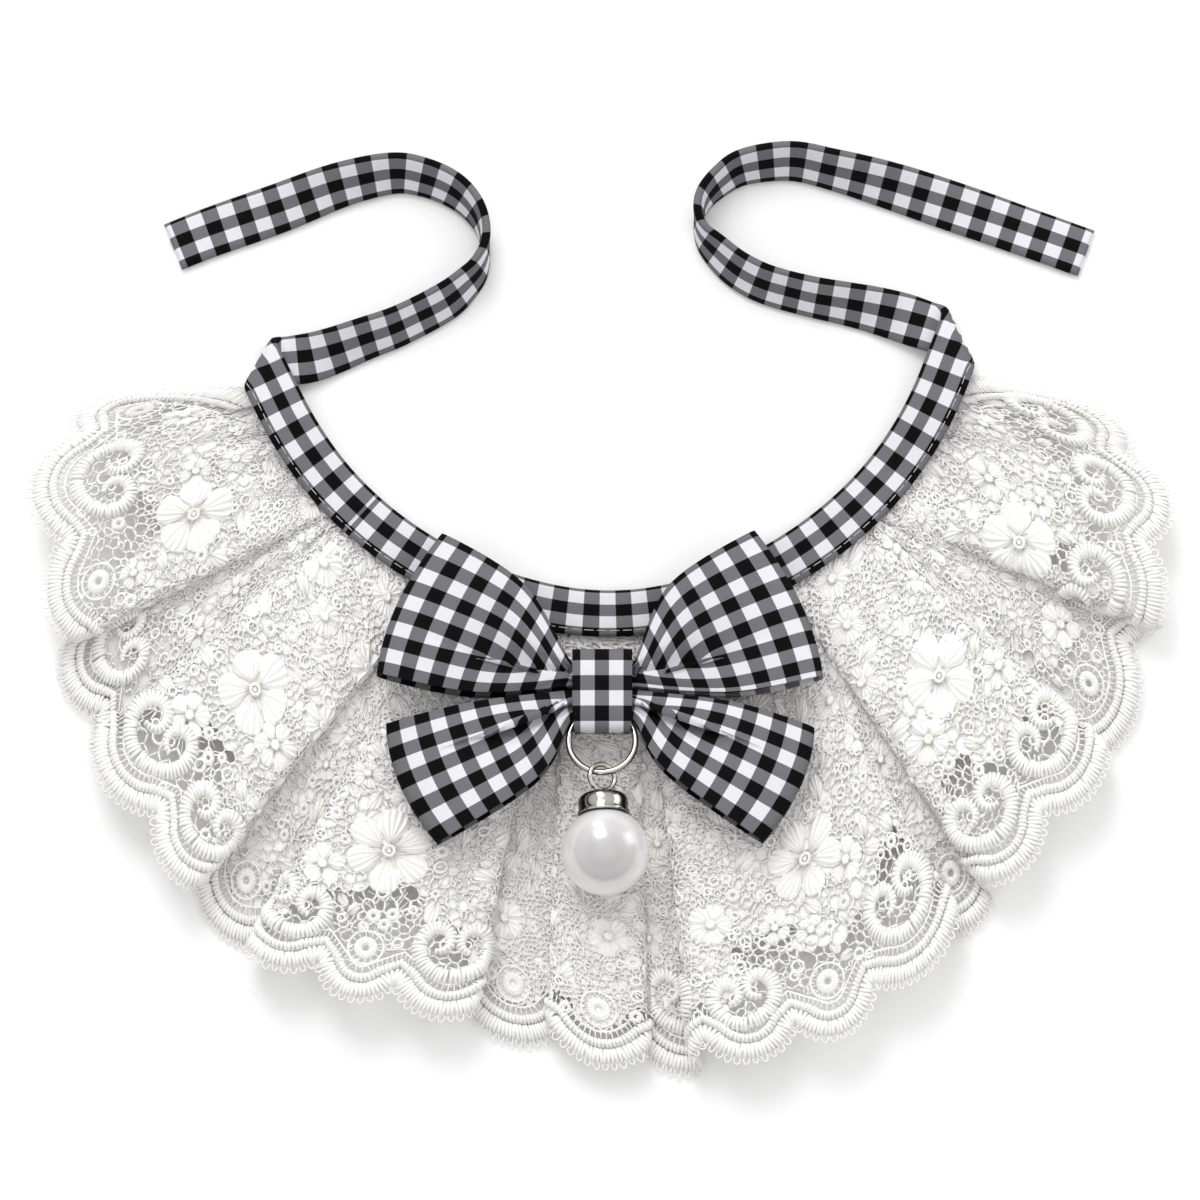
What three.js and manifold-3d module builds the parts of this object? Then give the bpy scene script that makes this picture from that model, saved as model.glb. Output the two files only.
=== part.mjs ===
// Bib collar for a small pet, lying face up. Millimetres, +Z up, the floor at z = 0.
// The origin is under the middle of the neckband's front. +X is to the wearer's bow side right
// as seen from above, and +Y points from the bow to the open side of the neck.

import * as THREE from "three";
import { mergeVertices } from "three/addons/utils/BufferGeometryUtils.js";
import Module from "manifold-3d";

// Neckband: an arc of the strap around this centre. Angles are in degrees, anticlockwise from +X.
const NECK_CENTRE = { x: 0.6, y: 72.8 };
const NECK_RADIUS = 72.7;
const NECK_FROM = 206;
const NECK_TO = 339;
const NECK_STATIONS = 14;

// Strap: folded gingham, the same strip in the neckband and both ties.
const STRAP_WIDTH = 10;
const STRAP_THICKNESS = 1.8;
const STRAP_EDGE = 0.6;
const STRAP_STEPS_PER_STATION = 3;

// Ruffle: lace wall, its header lying under the neckband, and the scallops of its hem.
const LACE_THICKNESS = 1.2;
const HEADER_RADIUS = 70.5;
const HEADER_OUTER_RADIUS = 79;
const FOLD_GROWTH = 0.8;
const SCALLOPS = 28;
const SCALLOP_COLUMNS = 4;
const SCALLOP_DEPTH = 4.5;
const GAP = 0.3;

// Bow loops: cloth wall and half heights at the knot and at the outer fold.
const BOW_WALL = 1;
const LOOP_AROUND = 16;
const LOOP_ACROSS = 5;
const LOOP_BULGE = 2.4;
const CREASE_DEPTH = 0.5;
const CREASE_SHARES = [0, 0, 1, 0.3];
const RISE_SHARES = [0, 0.02, 0.6, 1];

// Knot: a wrap around the bow's pinched middle.
const KNOT = { x: -0.1, y: -18.2, z: 8.3, halfWidth: 5.9, halfLength: 8.6, halfHeight: 4.3 };
const KNOT_TAPER = 0.18;
const KNOT_AROUND = 20;
const KNOT_ACROSS = 4;

// Ring, and the drop that hangs on it.
const RING = { x: -0.2, y: -28.1, z: 9.5, radius: 6.7, wire: 0.55, tilt: 12.6 };
const PEARL_RADIUS = 8.7;
const PEARL = { x: 0.4, y: -50.9, z: 13.1 };
const PEARL_HOLE_RADIUS = 0.95;
const PEARL_HOLE_BOTTOM = 4.5;
const POST_RADIUS = 0.6;
const POST_BOTTOM = 5;
const BAIL = { centre: 15.4, halfWidth: 2.7, halfHeight: 2.5, wire: 0.4, turn: 40 };

// Left tie, from its free end to the neckband. roll is how far the strip is turned about its own
// length: 0 lies face up, 90 stands on its edge, and past 90 the other face is up. lift is how
// far the strip is held off the floor, by the ruffle's end, and 0 where no row states it.
const LEFT_TIE = [
  { x: -86.5, y: 73.9, roll: 0 },
  { x: -78.4, y: 77.1, roll: 5 },
  { x: -65.6, y: 81.5, roll: 18 },
  { x: -52.6, y: 86.2, roll: 38 },
  { x: -42.4, y: 88.4, roll: 48 },
  { x: -36.2, y: 87.6, roll: 53 },
  { x: -30.6, y: 85.2, roll: 58 },
  { x: -26.6, y: 81.7, roll: 68 },
  { x: -24.2, y: 77.5, roll: 80 },
  { x: -23.7, y: 73.2, roll: 90 },
  { x: -24.9, y: 68.9, roll: 105 },
  { x: -27.5, y: 65.6, roll: 116 },
  { x: -31.9, y: 61.9, roll: 126 },
  { x: -40.6, y: 57.3, roll: 130 },
  { x: -47.3, y: 55.2, roll: 136 },
  { x: -55.5, y: 52.6, roll: 134 },
  { x: -62.6, y: 51.0, roll: 122 },
  { x: -67.0, y: 50.2, roll: 100, lift: 1.2 },
  { x: -69.6, y: 47.6, roll: 76, lift: 1.8 },
  { x: -68.9, y: 44.4, roll: 46, lift: 1.8 },
];

// Right tie, from the neckband to its free end.
const RIGHT_TIE = [
  { x: 71.4, y: 51.6, roll: 46, lift: 1.8 },
  { x: 71.4, y: 54.8, roll: 78, lift: 1.8 },
  { x: 68.2, y: 57.0, roll: 104, lift: 1.2 },
  { x: 62.6, y: 58.6, roll: 126 },
  { x: 51.4, y: 60.9, roll: 132 },
  { x: 41.0, y: 63.3, roll: 130 },
  { x: 32.8, y: 65.6, roll: 128 },
  { x: 26.9, y: 68.7, roll: 124 },
  { x: 22.2, y: 73.0, roll: 114 },
  { x: 19.9, y: 76.0, roll: 100 },
  { x: 19.2, y: 79.4, roll: 88 },
  { x: 20.4, y: 83.2, roll: 76 },
  { x: 23.9, y: 86.9, roll: 66 },
  { x: 28.6, y: 89.7, roll: 58 },
  { x: 37.6, y: 90.9, roll: 52 },
  { x: 46.2, y: 89.2, roll: 48 },
  { x: 59.0, y: 85.7, roll: 30 },
  { x: 73.6, y: 81.0, roll: 10 },
  { x: 86.0, y: 76.7, roll: 0 },
  { x: 97.2, y: 72.6, roll: 0 },
];

// Ruffle, one row for each line that runs from the neckband to the hem: its angle under the
// neckband, its angle and radius at the hem, both about the neck's centre, and its height at the
// hem. Seven raised folds stand between low valleys, whose edges tuck under them.
const FOLD_LINES = [
  { neck: 203.2, hem: 196.4, reach: 99, rise: 0.5 },
  { neck: 204.0, hem: 197.2, reach: 109, rise: 3.5 },
  { neck: 205.4, hem: 199.6, reach: 118, rise: 6.5 },
  { neck: 207.6, hem: 203.5, reach: 125, rise: 8 },
  { neck: 214.0, hem: 210.0, reach: 130, rise: 8.5 },
  { neck: 224.5, hem: 216.3, reach: 136, rise: 7.5 },
  { neck: 226.0, hem: 216.8, reach: 137, rise: 0 },
  { neck: 227.0, hem: 224.4, reach: 145, rise: 0 },
  { neck: 228.2, hem: 224.6, reach: 146, rise: 8 },
  { neck: 236.0, hem: 231.0, reach: 150, rise: 9 },
  { neck: 244.0, hem: 237.3, reach: 155, rise: 8.5 },
  { neck: 245.0, hem: 237.8, reach: 155, rise: 0 },
  { neck: 245.8, hem: 243.6, reach: 160, rise: 0 },
  { neck: 246.5, hem: 244.0, reach: 160, rise: 8 },
  { neck: 253.5, hem: 251.5, reach: 161, rise: 9 },
  { neck: 260.8, hem: 259.8, reach: 159, rise: 8 },
  { neck: 261.6, hem: 260.2, reach: 159, rise: 0 },
  { neck: 263.0, hem: 265.8, reach: 162, rise: 0 },
  { neck: 263.8, hem: 266.2, reach: 162, rise: 4.5 },
  { neck: 268.5, hem: 269.4, reach: 165, rise: 4.5 },
  { neck: 274.0, hem: 272.6, reach: 166, rise: 4.5 },
  { neck: 274.8, hem: 272.9, reach: 166, rise: 0 },
  { neck: 276.0, hem: 276.4, reach: 167, rise: 0 },
  { neck: 276.8, hem: 276.8, reach: 167, rise: 8 },
  { neck: 285.5, hem: 287.0, reach: 166, rise: 9 },
  { neck: 294.5, hem: 296.6, reach: 156, rise: 8.5 },
  { neck: 295.6, hem: 297.0, reach: 156, rise: 0 },
  { neck: 297.0, hem: 300.4, reach: 153, rise: 0 },
  { neck: 297.8, hem: 300.8, reach: 152, rise: 8 },
  { neck: 304.5, hem: 307.5, reach: 149, rise: 9 },
  { neck: 311.5, hem: 313.8, reach: 145, rise: 8 },
  { neck: 312.6, hem: 314.4, reach: 145, rise: 0 },
  { neck: 313.2, hem: 319.5, reach: 140, rise: 2 },
  { neck: 313.9, hem: 324.8, reach: 135, rise: 0 },
  { neck: 314.6, hem: 325.4, reach: 134, rise: 7.5 },
  { neck: 325.0, hem: 331.0, reach: 129, rise: 8.5 },
  { neck: 334.0, hem: 336.8, reach: 121, rise: 6.5 },
  { neck: 337.4, hem: 340.6, reach: 109, rise: 3.5 },
  { neck: 339.8, hem: 343.0, reach: 97, rise: 0.5 },
];

// Rows of the ruffle from the neckband, 0, to the hem, 1. The pierced rows are the short ones.
const LACE_ROWS = [0, 0.09, 0.17, 0.235, 0.36, 0.425, 0.55, 0.615, 0.75, 0.88, 1];
const PIERCED_ROWS = [2, 4, 6];
const PIERCED_EVERY = 3;

// Bow loops, one row each: the x and y of each side edge where the loop leaves the knot's middle,
// at the knot's face, half way and at the outer fold; the height of its middle at the knot and at
// both ends of the outer fold; and its half heights at those four places.
const BOW_LOOPS = [
  {
    name: "bow_loop_upper_left",
    upper: [[-4.4, -12.4], [-6.4, -12.1], [-15.8, 3.3], [-32.2, 13.8]],
    lower: [[-4.4, -17.0], [-6.2, -17.2], [-26, -18.6], [-45, -14.8]],
    atKnot: 8.3, upperEnd: 7.9, lowerEnd: 9.4, halves: [1.8, 2, 3.9, 4.5],
  },
  {
    name: "bow_loop_upper_right",
    upper: [[4.2, -12.4], [6.2, -12.1], [13.2, 2.9], [31.4, 13.8]],
    lower: [[4.2, -17.0], [6.0, -17.2], [26, -18.6], [44.4, -15.6]],
    atKnot: 8.3, upperEnd: 7.9, lowerEnd: 9.4, halves: [1.8, 2, 3.9, 4.5],
  },
  {
    name: "bow_loop_lower_left",
    upper: [[-4.4, -18.0], [-6.2, -18.2], [-26, -20.6], [-43.1, -25.0]],
    lower: [[-4.4, -22.0], [-6.4, -22.7], [-13.2, -36.1], [-32.8, -49.1]],
    atKnot: 8.3, upperEnd: 9.3, lowerEnd: 11.3, halves: [1.8, 2, 3.4, 3.8],
  },
  {
    name: "bow_loop_lower_right",
    upper: [[4.2, -18.0], [6.0, -18.2], [26, -20.6], [43, -26.2]],
    lower: [[4.2, -22.0], [6.2, -22.7], [12.6, -34.6], [32.6, -49.1]],
    atKnot: 8.3, upperEnd: 9.3, lowerEnd: 11.3, halves: [1.8, 2, 3.4, 3.8],
  },
];

// Pendant cap, half profile about the drop's axis: radius, and height above the pearl's middle.
const CAP_PROFILE = [
  [0, 9.3], [2.9, 8.7], [4.4, 8.05], [4.9, 7.7], [5.2, 8.2],
  [4.7, 9.4], [3.7, 10.6], [3.1, 12.1], [2.5, 12.9], [0, 12.9],
];

const radians = THREE.MathUtils.degToRad;
const v3 = (x, y, z) => new THREE.Vector3(x, y, z);
const lerp = THREE.MathUtils.lerp;

const materials = {
  gingham: new THREE.MeshStandardMaterial({ color: 0x7c7c80, roughness: 0.85 }),
  lace: new THREE.MeshStandardMaterial({ color: 0xf6f6f4, roughness: 0.9 }),
  metal: new THREE.MeshStandardMaterial({ color: 0xc9cacc, roughness: 0.15, metalness: 1 }),
  pearl: new THREE.MeshStandardMaterial({ color: 0xf1eeea, roughness: 0.18 }),
};

// A smooth line through rows of numbers: place is 0 at the first row and 1 at the last.
function alongRows(rows, place) {
  const last = rows.length - 1;
  const at = Math.min(Math.max(place, 0), 1) * last;
  const i = Math.min(Math.floor(at), last - 1);
  const t = at - i;
  const before = rows[Math.max(i - 1, 0)];
  const after = rows[Math.min(i + 2, last)];
  return rows[i].map((p1, k) => {
    const p2 = rows[i + 1][k];
    const m1 = (p2 - before[k]) / 2;
    const m2 = (after[k] - p1) / 2;
    const t2 = t * t;
    const t3 = t2 * t;
    return (2 * t3 - 3 * t2 + 1) * p1 + (t3 - 2 * t2 + t) * m1
      + (3 * t2 - 2 * t3) * p2 + (t3 - t2) * m2;
  });
}

// A point at this radius and angle about the neck's centre, on the floor.
function aroundNeck(radius, angle) {
  return v3(
    NECK_CENTRE.x + radius * Math.cos(radians(angle)),
    NECK_CENTRE.y + radius * Math.sin(radians(angle)),
    0,
  );
}

function geometryOf(corners, faces) {
  const geometry = new THREE.BufferGeometry();
  geometry.setAttribute(
    "position",
    new THREE.Float32BufferAttribute(corners.flatMap((p) => [p.x, p.y, p.z]), 3),
  );
  geometry.setIndex(faces.flat());
  geometry.computeVertexNormals();
  return geometry;
}

// A wall of cloth as a grid of cells: face(i, j) and back(i, j) are its two sides, which open
// cells pierce. Seen from the face, columns run to the right and rows run up. A closed wall joins
// its last column to its first.
function clothWall({ columns, rows, closed = false, face, back, open = () => false }) {
  const width = closed ? columns : columns + 1;
  const corners = [];
  for (const side of [face, back]) {
    for (let j = 0; j <= rows; j++) for (let i = 0; i < width; i++) corners.push(side(i, j));
  }
  const layer = width * (rows + 1);
  const at = (i, j) => j * width + (closed ? i % columns : i);
  const solid = (i, j) => {
    if (j < 0 || j >= rows) return false;
    if (!closed && (i < 0 || i >= columns)) return false;
    return !open((i + columns) % columns, j);
  };
  const faces = [];
  const wall = (p, q) => faces.push([q, p, p + layer], [q, p + layer, q + layer]);
  for (let j = 0; j < rows; j++) {
    for (let i = 0; i < columns; i++) {
      if (!solid(i, j)) continue;
      const [a, b, c, d] = [at(i, j), at(i + 1, j), at(i + 1, j + 1), at(i, j + 1)];
      faces.push([a, b, c], [a, c, d], [a + layer, c + layer, b + layer]);
      faces.push([a + layer, d + layer, c + layer]);
      if (!solid(i, j - 1)) wall(a, b);
      if (!solid(i + 1, j)) wall(b, c);
      if (!solid(i, j + 1)) wall(c, d);
      if (!solid(i - 1, j)) wall(d, a);
    }
  }
  return geometryOf(corners, faces);
}

// The strip's outline across its length: along its width, then through its thickness.
function strapOutline() {
  const half = STRAP_WIDTH / 2;
  const thick = STRAP_THICKNESS / 2;
  const edge = thick - STRAP_EDGE / 2;
  return [
    [half, -edge / 2], [half, edge / 2], [half - STRAP_EDGE, thick], [STRAP_EDGE - half, thick],
    [-half, edge / 2], [-half, -edge / 2], [STRAP_EDGE - half, -thick], [half - STRAP_EDGE, -thick],
  ];
}

// Stations of the whole strap: x, y, roll, and how high it lies on the ruffle's header.
function strapStations() {
  const onHeader = LACE_THICKNESS + GAP;
  const tie = (rows) => rows.map(({ x, y, roll, lift = 0 }) => [x, y, roll, lift]);
  const neckband = [];
  for (let k = 0; k <= NECK_STATIONS; k++) {
    const share = k / NECK_STATIONS;
    const place = aroundNeck(NECK_RADIUS, lerp(NECK_FROM, NECK_TO, share));
    const nearEnd = Math.abs(2 * share - 1) ** 12;
    neckband.push([place.x, place.y, 18 * nearEnd, onHeader]);
  }
  return [...tie(LEFT_TIE), ...neckband, ...tie(RIGHT_TIE)];
}

function makeStrap() {
  const stations = strapStations();
  const outline = strapOutline();
  const steps = (stations.length - 1) * STRAP_STEPS_PER_STATION;
  const corners = [];
  const faces = [];
  for (let k = 0; k <= steps; k++) {
    const [x, y, roll, lift] = alongRows(stations, k / steps);
    const ahead = alongRows(stations, (k + 0.5) / steps);
    const behind = alongRows(stations, (k - 0.5) / steps);
    const travel = v3(ahead[0] - behind[0], ahead[1] - behind[1], 0).normalize();
    const left = v3(-travel.y, travel.x, 0);
    const cos = Math.cos(radians(roll));
    const sin = Math.sin(radians(roll));
    const wide = left.clone().multiplyScalar(cos).add(v3(0, 0, sin));
    const thick = left.clone().multiplyScalar(-sin).add(v3(0, 0, cos));
    const lowest = Math.min(...outline.map(([w, t]) => w * sin + t * cos));
    for (const [w, t] of outline) {
      const corner = v3(x, y, Math.max(lift, 0) - lowest);
      corners.push(corner.addScaledVector(wide, w).addScaledVector(thick, t));
    }
  }
  const sides = outline.length;
  for (let k = 0; k < steps; k++) {
    for (let s = 0; s < sides; s++) {
      const a = k * sides + s;
      const b = k * sides + ((s + 1) % sides);
      faces.push([a, b, b + sides], [a, b + sides, a + sides]);
    }
  }
  const end = steps * sides;
  for (let s = 1; s < sides - 1; s++) {
    faces.push([0, s + 1, s], [end, end + s, end + s + 1]);
  }
  return geometryOf(corners, faces);
}

// The middle of the lace's wall: line runs 0 to 1 along the hem's fold lines, and row from the
// neckband, 0, to the hem, 1. out is how far the scallop reaches past the hem's own line.
function lacePoint(line, row, out = 0) {
  const rows = FOLD_LINES.map(({ hem, reach, rise }) => [hem, reach, rise]);
  const [hem, reach, rise] = alongRows(rows, line);
  const at = Math.min(Math.max(line, 0), 1) * (rows.length - 1);
  const before = Math.min(Math.floor(at), rows.length - 2);
  const neck = lerp(FOLD_LINES[before].neck, FOLD_LINES[before + 1].neck, at - before);
  const top = aroundNeck(HEADER_RADIUS, neck);
  const end = aroundNeck(reach - SCALLOP_DEPTH + out, hem);
  const point = top.lerp(end, row);
  const radius = Math.hypot(point.x - NECK_CENTRE.x, point.y - NECK_CENTRE.y);
  const span = Math.max(reach - HEADER_OUTER_RADIUS, 1);
  const free = Math.max(0, (radius - HEADER_OUTER_RADIUS) / span);
  point.z = LACE_THICKNESS / 2 + Math.max(rise, 0) * free ** FOLD_GROWTH;
  return point;
}

// Places of evenly spaced cloth along the hem, as shares of the fold lines.
function evenAlongHem(count) {
  const samples = 800;
  const length = [0];
  let last = lacePoint(0, 1);
  for (let k = 1; k <= samples; k++) {
    const next = lacePoint(k / samples, 1);
    length.push(length[k - 1] + next.distanceTo(last));
    last = next;
  }
  const places = [];
  let k = 0;
  for (let n = 0; n <= count; n++) {
    const wanted = (length[samples] * n) / count;
    while (k < samples - 1 && length[k + 1] < wanted) k++;
    places.push((k + (wanted - length[k]) / (length[k + 1] - length[k])) / samples);
  }
  return places;
}

function makeRuffle() {
  const columns = SCALLOPS * SCALLOP_COLUMNS;
  const rows = LACE_ROWS.length - 1;
  const places = evenAlongHem(columns);
  const step = 1e-3;
  const scallop = (i) => SCALLOP_DEPTH * Math.abs(Math.sin((Math.PI * i) / SCALLOP_COLUMNS)) ** 0.7;
  const side = (offset) => (i, j) => {
    const row = LACE_ROWS[j];
    const out = j === rows ? scallop(i) : 0;
    const point = lacePoint(places[i], row, out);
    const along = lacePoint(places[i] + step, row, out).sub(lacePoint(places[i] - step, row, out));
    const down = lacePoint(places[i], row + step, out).sub(lacePoint(places[i], row - step, out));
    const normal = down.cross(along).normalize();
    point.addScaledVector(normal, (offset * LACE_THICKNESS) / 2);
    return point.setZ(Math.max(point.z, offset > 0 ? LACE_THICKNESS : 0));
  };
  return clothWall({
    columns,
    rows,
    face: side(-1),
    back: side(1),
    open: (i, j) => PIERCED_ROWS.includes(j) && i % PIERCED_EVERY === 1,
  });
}

// A rounded box profile: angle runs once around it, and both halves shrink by inset.
function roundedProfile(angle, halfLength, halfHeight, inset) {
  const soften = (value) => Math.sign(value) * Math.sqrt(Math.abs(value));
  return [
    (halfLength - inset) * soften(Math.cos(angle)),
    (halfHeight - inset) * soften(Math.sin(angle)),
  ];
}

function makeBowLoop(loop) {
  const side = (inset) => (i, j) => {
    const angle = (2 * Math.PI * i) / LOOP_AROUND;
    const [along, up] = roundedProfile(angle, 1, 1, 0);
    const across = j / LOOP_ACROSS;
    const upperEdge = alongRows(loop.upper, 1);
    const lowerEdge = alongRows(loop.lower, 1);
    const length = Math.hypot(
      lerp(upperEdge[0], lowerEdge[0], across) - loop.upper[0][0],
      lerp(upperEdge[1], lowerEdge[1], across) - loop.upper[0][1],
    );
    const share = (1 + along) / 2;
    const place = lerp(inset / length, 1 - inset / length, share);
    const top = alongRows(loop.upper, place);
    const low = alongRows(loop.lower, place);
    const bulge = LOOP_BULGE * 4 * across * (1 - across) * place ** 3;
    const outward = Math.sign(upperEdge[0]);
    const end = lerp(loop.upperEnd, loop.lowerEnd, across);
    const [full] = alongRows(loop.halves.map((half) => [half]), place);
    const [creased] = alongRows(CREASE_SHARES.map((share) => [share]), place);
    const [risen] = alongRows(RISE_SHARES.map((share) => [share]), place);
    const crease = CREASE_DEPTH * creased * Math.cos(4 * Math.PI * across);
    return v3(
      lerp(top[0], low[0], across) + outward * bulge,
      lerp(top[1], low[1], across),
      lerp(loop.atKnot, end, risen) + up * (full - inset) + crease,
    );
  };
  const outside = side(0);
  const inside = side(BOW_WALL);
  const toLeft = loop.upper[3][0] < 0;
  const turned = (surface) => (i, j) => surface(toLeft ? LOOP_AROUND - i : i, j);
  return clothWall({
    columns: LOOP_AROUND,
    rows: LOOP_ACROSS,
    closed: true,
    face: turned(outside),
    back: turned(inside),
  });
}

function makeKnot() {
  const side = (inset) => (i, j) => {
    const angle = (2 * Math.PI * i) / KNOT_AROUND;
    const [along, up] = roundedProfile(angle, KNOT.halfLength, KNOT.halfHeight, inset);
    const across = (2 * j) / KNOT_ACROSS - 1;
    const taper = 1 - KNOT_TAPER * Math.max(0, -along / KNOT.halfLength) ** 4;
    return v3(KNOT.x + across * KNOT.halfWidth * taper, KNOT.y + along, KNOT.z + up);
  };
  return clothWall({
    columns: KNOT_AROUND,
    rows: KNOT_ACROSS,
    closed: true,
    face: side(0),
    back: side(BOW_WALL),
  });
}

const wasm = await Module();
wasm.setup();

function toSolid(geometry) {
  const bare = geometry.clone();
  bare.deleteAttribute("normal");
  bare.deleteAttribute("uv");
  const merged = mergeVertices(bare, 1e-4);
  return new wasm.Manifold(
    new wasm.Mesh({
      numProp: 3,
      vertProperties: merged.attributes.position.array,
      triVerts: new Uint32Array(merged.index.array),
    }),
  );
}

function fromSolid(solid) {
  const mesh = solid.getMesh();
  const geometry = new THREE.BufferGeometry();
  geometry.setAttribute("position", new THREE.BufferAttribute(mesh.vertProperties, 3));
  geometry.setIndex(new THREE.BufferAttribute(mesh.triVerts, 1));
  geometry.computeVertexNormals();
  return geometry;
}

// The drop's pieces are made about its own axis, +Y, with the pearl's middle at the origin.
function makeCap() {
  const bell = new THREE.LatheGeometry(CAP_PROFILE.map(([r, h]) => new THREE.Vector2(r, h)), 16);
  const postTop = CAP_PROFILE[CAP_PROFILE.length - 1][1] - 1;
  const post = new THREE.CylinderGeometry(POST_RADIUS, POST_RADIUS, postTop - POST_BOTTOM, 10);
  post.translate(0, (postTop + POST_BOTTOM) / 2, 0);
  const bail = new THREE.TorusGeometry(1, BAIL.wire / BAIL.halfWidth, 6, 16);
  bail.scale(BAIL.halfWidth, BAIL.halfHeight, BAIL.halfWidth);
  bail.rotateY(radians(BAIL.turn));
  bail.translate(0, BAIL.centre, 0);
  return fromSolid(toSolid(bell).add(toSolid(post)).add(toSolid(bail)));
}

function makePearl() {
  const ball = new THREE.SphereGeometry(PEARL_RADIUS, 16, 12);
  const depth = PEARL_RADIUS + 1 - PEARL_HOLE_BOTTOM;
  const hole = new THREE.CylinderGeometry(PEARL_HOLE_RADIUS, PEARL_HOLE_RADIUS, depth, 10);
  hole.translate(0, PEARL_HOLE_BOTTOM + depth / 2, 0);
  return fromSolid(toSolid(ball).subtract(toSolid(hole)));
}

function named(name, geometry, material) {
  const mesh = new THREE.Mesh(geometry, material);
  mesh.name = name;
  return mesh;
}

const collar = new THREE.Group();
collar.add(named("neck_strap", makeStrap(), materials.gingham));
collar.add(named("lace_ruffle", makeRuffle(), materials.lace));
for (const loop of BOW_LOOPS) collar.add(named(loop.name, makeBowLoop(loop), materials.gingham));
collar.add(named("bow_knot", makeKnot(), materials.gingham));

const ring = named(
  "hanging_ring",
  new THREE.TorusGeometry(RING.radius, RING.wire, 6, 16),
  materials.metal,
);
ring.position.set(RING.x, RING.y, RING.z);
ring.rotation.x = -radians(RING.tilt);
collar.add(ring);

// The drop's axis points from the pearl's middle to the lowest place of the ring's wire.
const drop = new THREE.Group();
const ringFoot = v3(0, -RING.radius, 0).applyEuler(ring.rotation).add(ring.position);
const dropAxis = ringFoot.sub(v3(PEARL.x, PEARL.y, PEARL.z)).normalize();
drop.quaternion.setFromUnitVectors(v3(0, 1, 0), dropAxis);
drop.position.set(PEARL.x, PEARL.y, PEARL.z);
drop.add(named("pendant_cap", makeCap(), materials.metal));
drop.add(named("pearl", makePearl(), materials.pearl));
collar.add(drop);

export default collar;
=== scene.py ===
"""A small pet's bib collar, lying face up: gingham strap, guipure lace, bow and pearl drop.

Lengths in the tables are millimetres. The finished meshes are in metres, in the frame of the
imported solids: +Z up, the floor at z = 0, +Y from the bow to the open side of the neck.
"""

import math

import bpy
import numpy as np
from mathutils import Matrix, Vector, kdtree
from mathutils.geometry import delaunay_2d_cdt


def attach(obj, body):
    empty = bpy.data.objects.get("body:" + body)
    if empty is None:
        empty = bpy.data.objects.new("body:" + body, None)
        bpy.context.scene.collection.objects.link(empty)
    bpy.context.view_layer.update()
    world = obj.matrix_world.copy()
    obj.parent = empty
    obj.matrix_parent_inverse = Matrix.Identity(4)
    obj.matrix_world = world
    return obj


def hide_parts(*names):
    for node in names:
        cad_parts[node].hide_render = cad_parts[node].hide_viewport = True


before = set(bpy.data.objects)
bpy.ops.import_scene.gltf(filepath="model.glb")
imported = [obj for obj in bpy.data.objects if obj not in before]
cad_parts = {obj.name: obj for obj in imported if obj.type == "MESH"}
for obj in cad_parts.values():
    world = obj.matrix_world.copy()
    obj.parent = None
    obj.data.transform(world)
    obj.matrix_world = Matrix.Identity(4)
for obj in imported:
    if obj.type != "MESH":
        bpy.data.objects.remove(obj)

bl_info = {
    "name": "Bib collar",
    "version": (1, 0, 0),
    "blender": (4, 5, 0),
    "location": "View3D > Sidebar > Bib collar",
    "description": "Makes a gingham and lace bib collar with a bow and a pearl drop",
    "category": "Add Mesh",
}

MM = 0.001

# The neckband is an arc of the strap around this centre; angles are anticlockwise from +X.
NECK_CENTRE = np.array([0.6, 72.8])
NECK_RADIUS = 72.7
NECK_FROM, NECK_TO = 206, 339

# Ties: x, y, roll about their own length in degrees, and lift off the floor. The left tie runs
# from its free end to under the neckband's folded end, and the right tie the other way.
LEFT_TIE = [
    (-86.5, 73.9, 0, 0), (-78.4, 77.1, 5, 0), (-65.6, 81.5, 18, 0), (-52.6, 86.2, 38, 0),
    (-42.4, 88.4, 48, 0), (-36.2, 87.6, 53, 0), (-30.6, 85.2, 58, 0), (-26.6, 81.7, 68, 0),
    (-24.2, 77.5, 80, 0), (-23.7, 73.2, 90, 0), (-24.9, 68.9, 105, 0), (-27.5, 65.6, 116, 0),
    (-31.9, 61.9, 126, 0), (-40.6, 57.3, 130, 0), (-47.8, 54.6, 136, 0), (-53.4, 52.5, 146, 0),
    (-58.2, 51.0, 162, 0.6), (-62.6, 50.4, 180, 1.25),
]
RIGHT_TIE = [
    (64.7, 57.6, 180, 1.25), (59.7, 59.2, 162, 0.6), (54.4, 60.6, 146, 0), (48.6, 61.8, 136, 0),
    (41.0, 63.3, 130, 0), (32.8, 65.6, 128, 0), (26.9, 68.7, 124, 0),
    (22.2, 73.0, 114, 0), (19.9, 76.0, 100, 0), (19.2, 79.4, 88, 0), (20.4, 83.2, 76, 0),
    (23.9, 86.9, 66, 0), (28.6, 89.7, 58, 0), (37.6, 90.9, 52, 0), (46.2, 89.2, 48, 0),
    (59.0, 85.7, 30, 0), (73.6, 81.0, 10, 0), (86.0, 76.7, 0, 0), (97.2, 72.6, 0, 0),
]

# Where each end of the neckband folds over slantwise and runs back under itself as a tie:
# a place on the fold line, the line's direction, and how far the strip still runs level.
LEFT_FOLD = dict(at=(-68.1, 47.9), along=(0.5, 0.866), run=16.5)
RIGHT_FOLD = dict(at=(70.8, 52.8), along=(-0.427, 0.904), run=16.6)
FOLD_RADIUS = 1.2
NECK_HEIGHT, FOLD_HEIGHT = 2.45, 4.6

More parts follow.
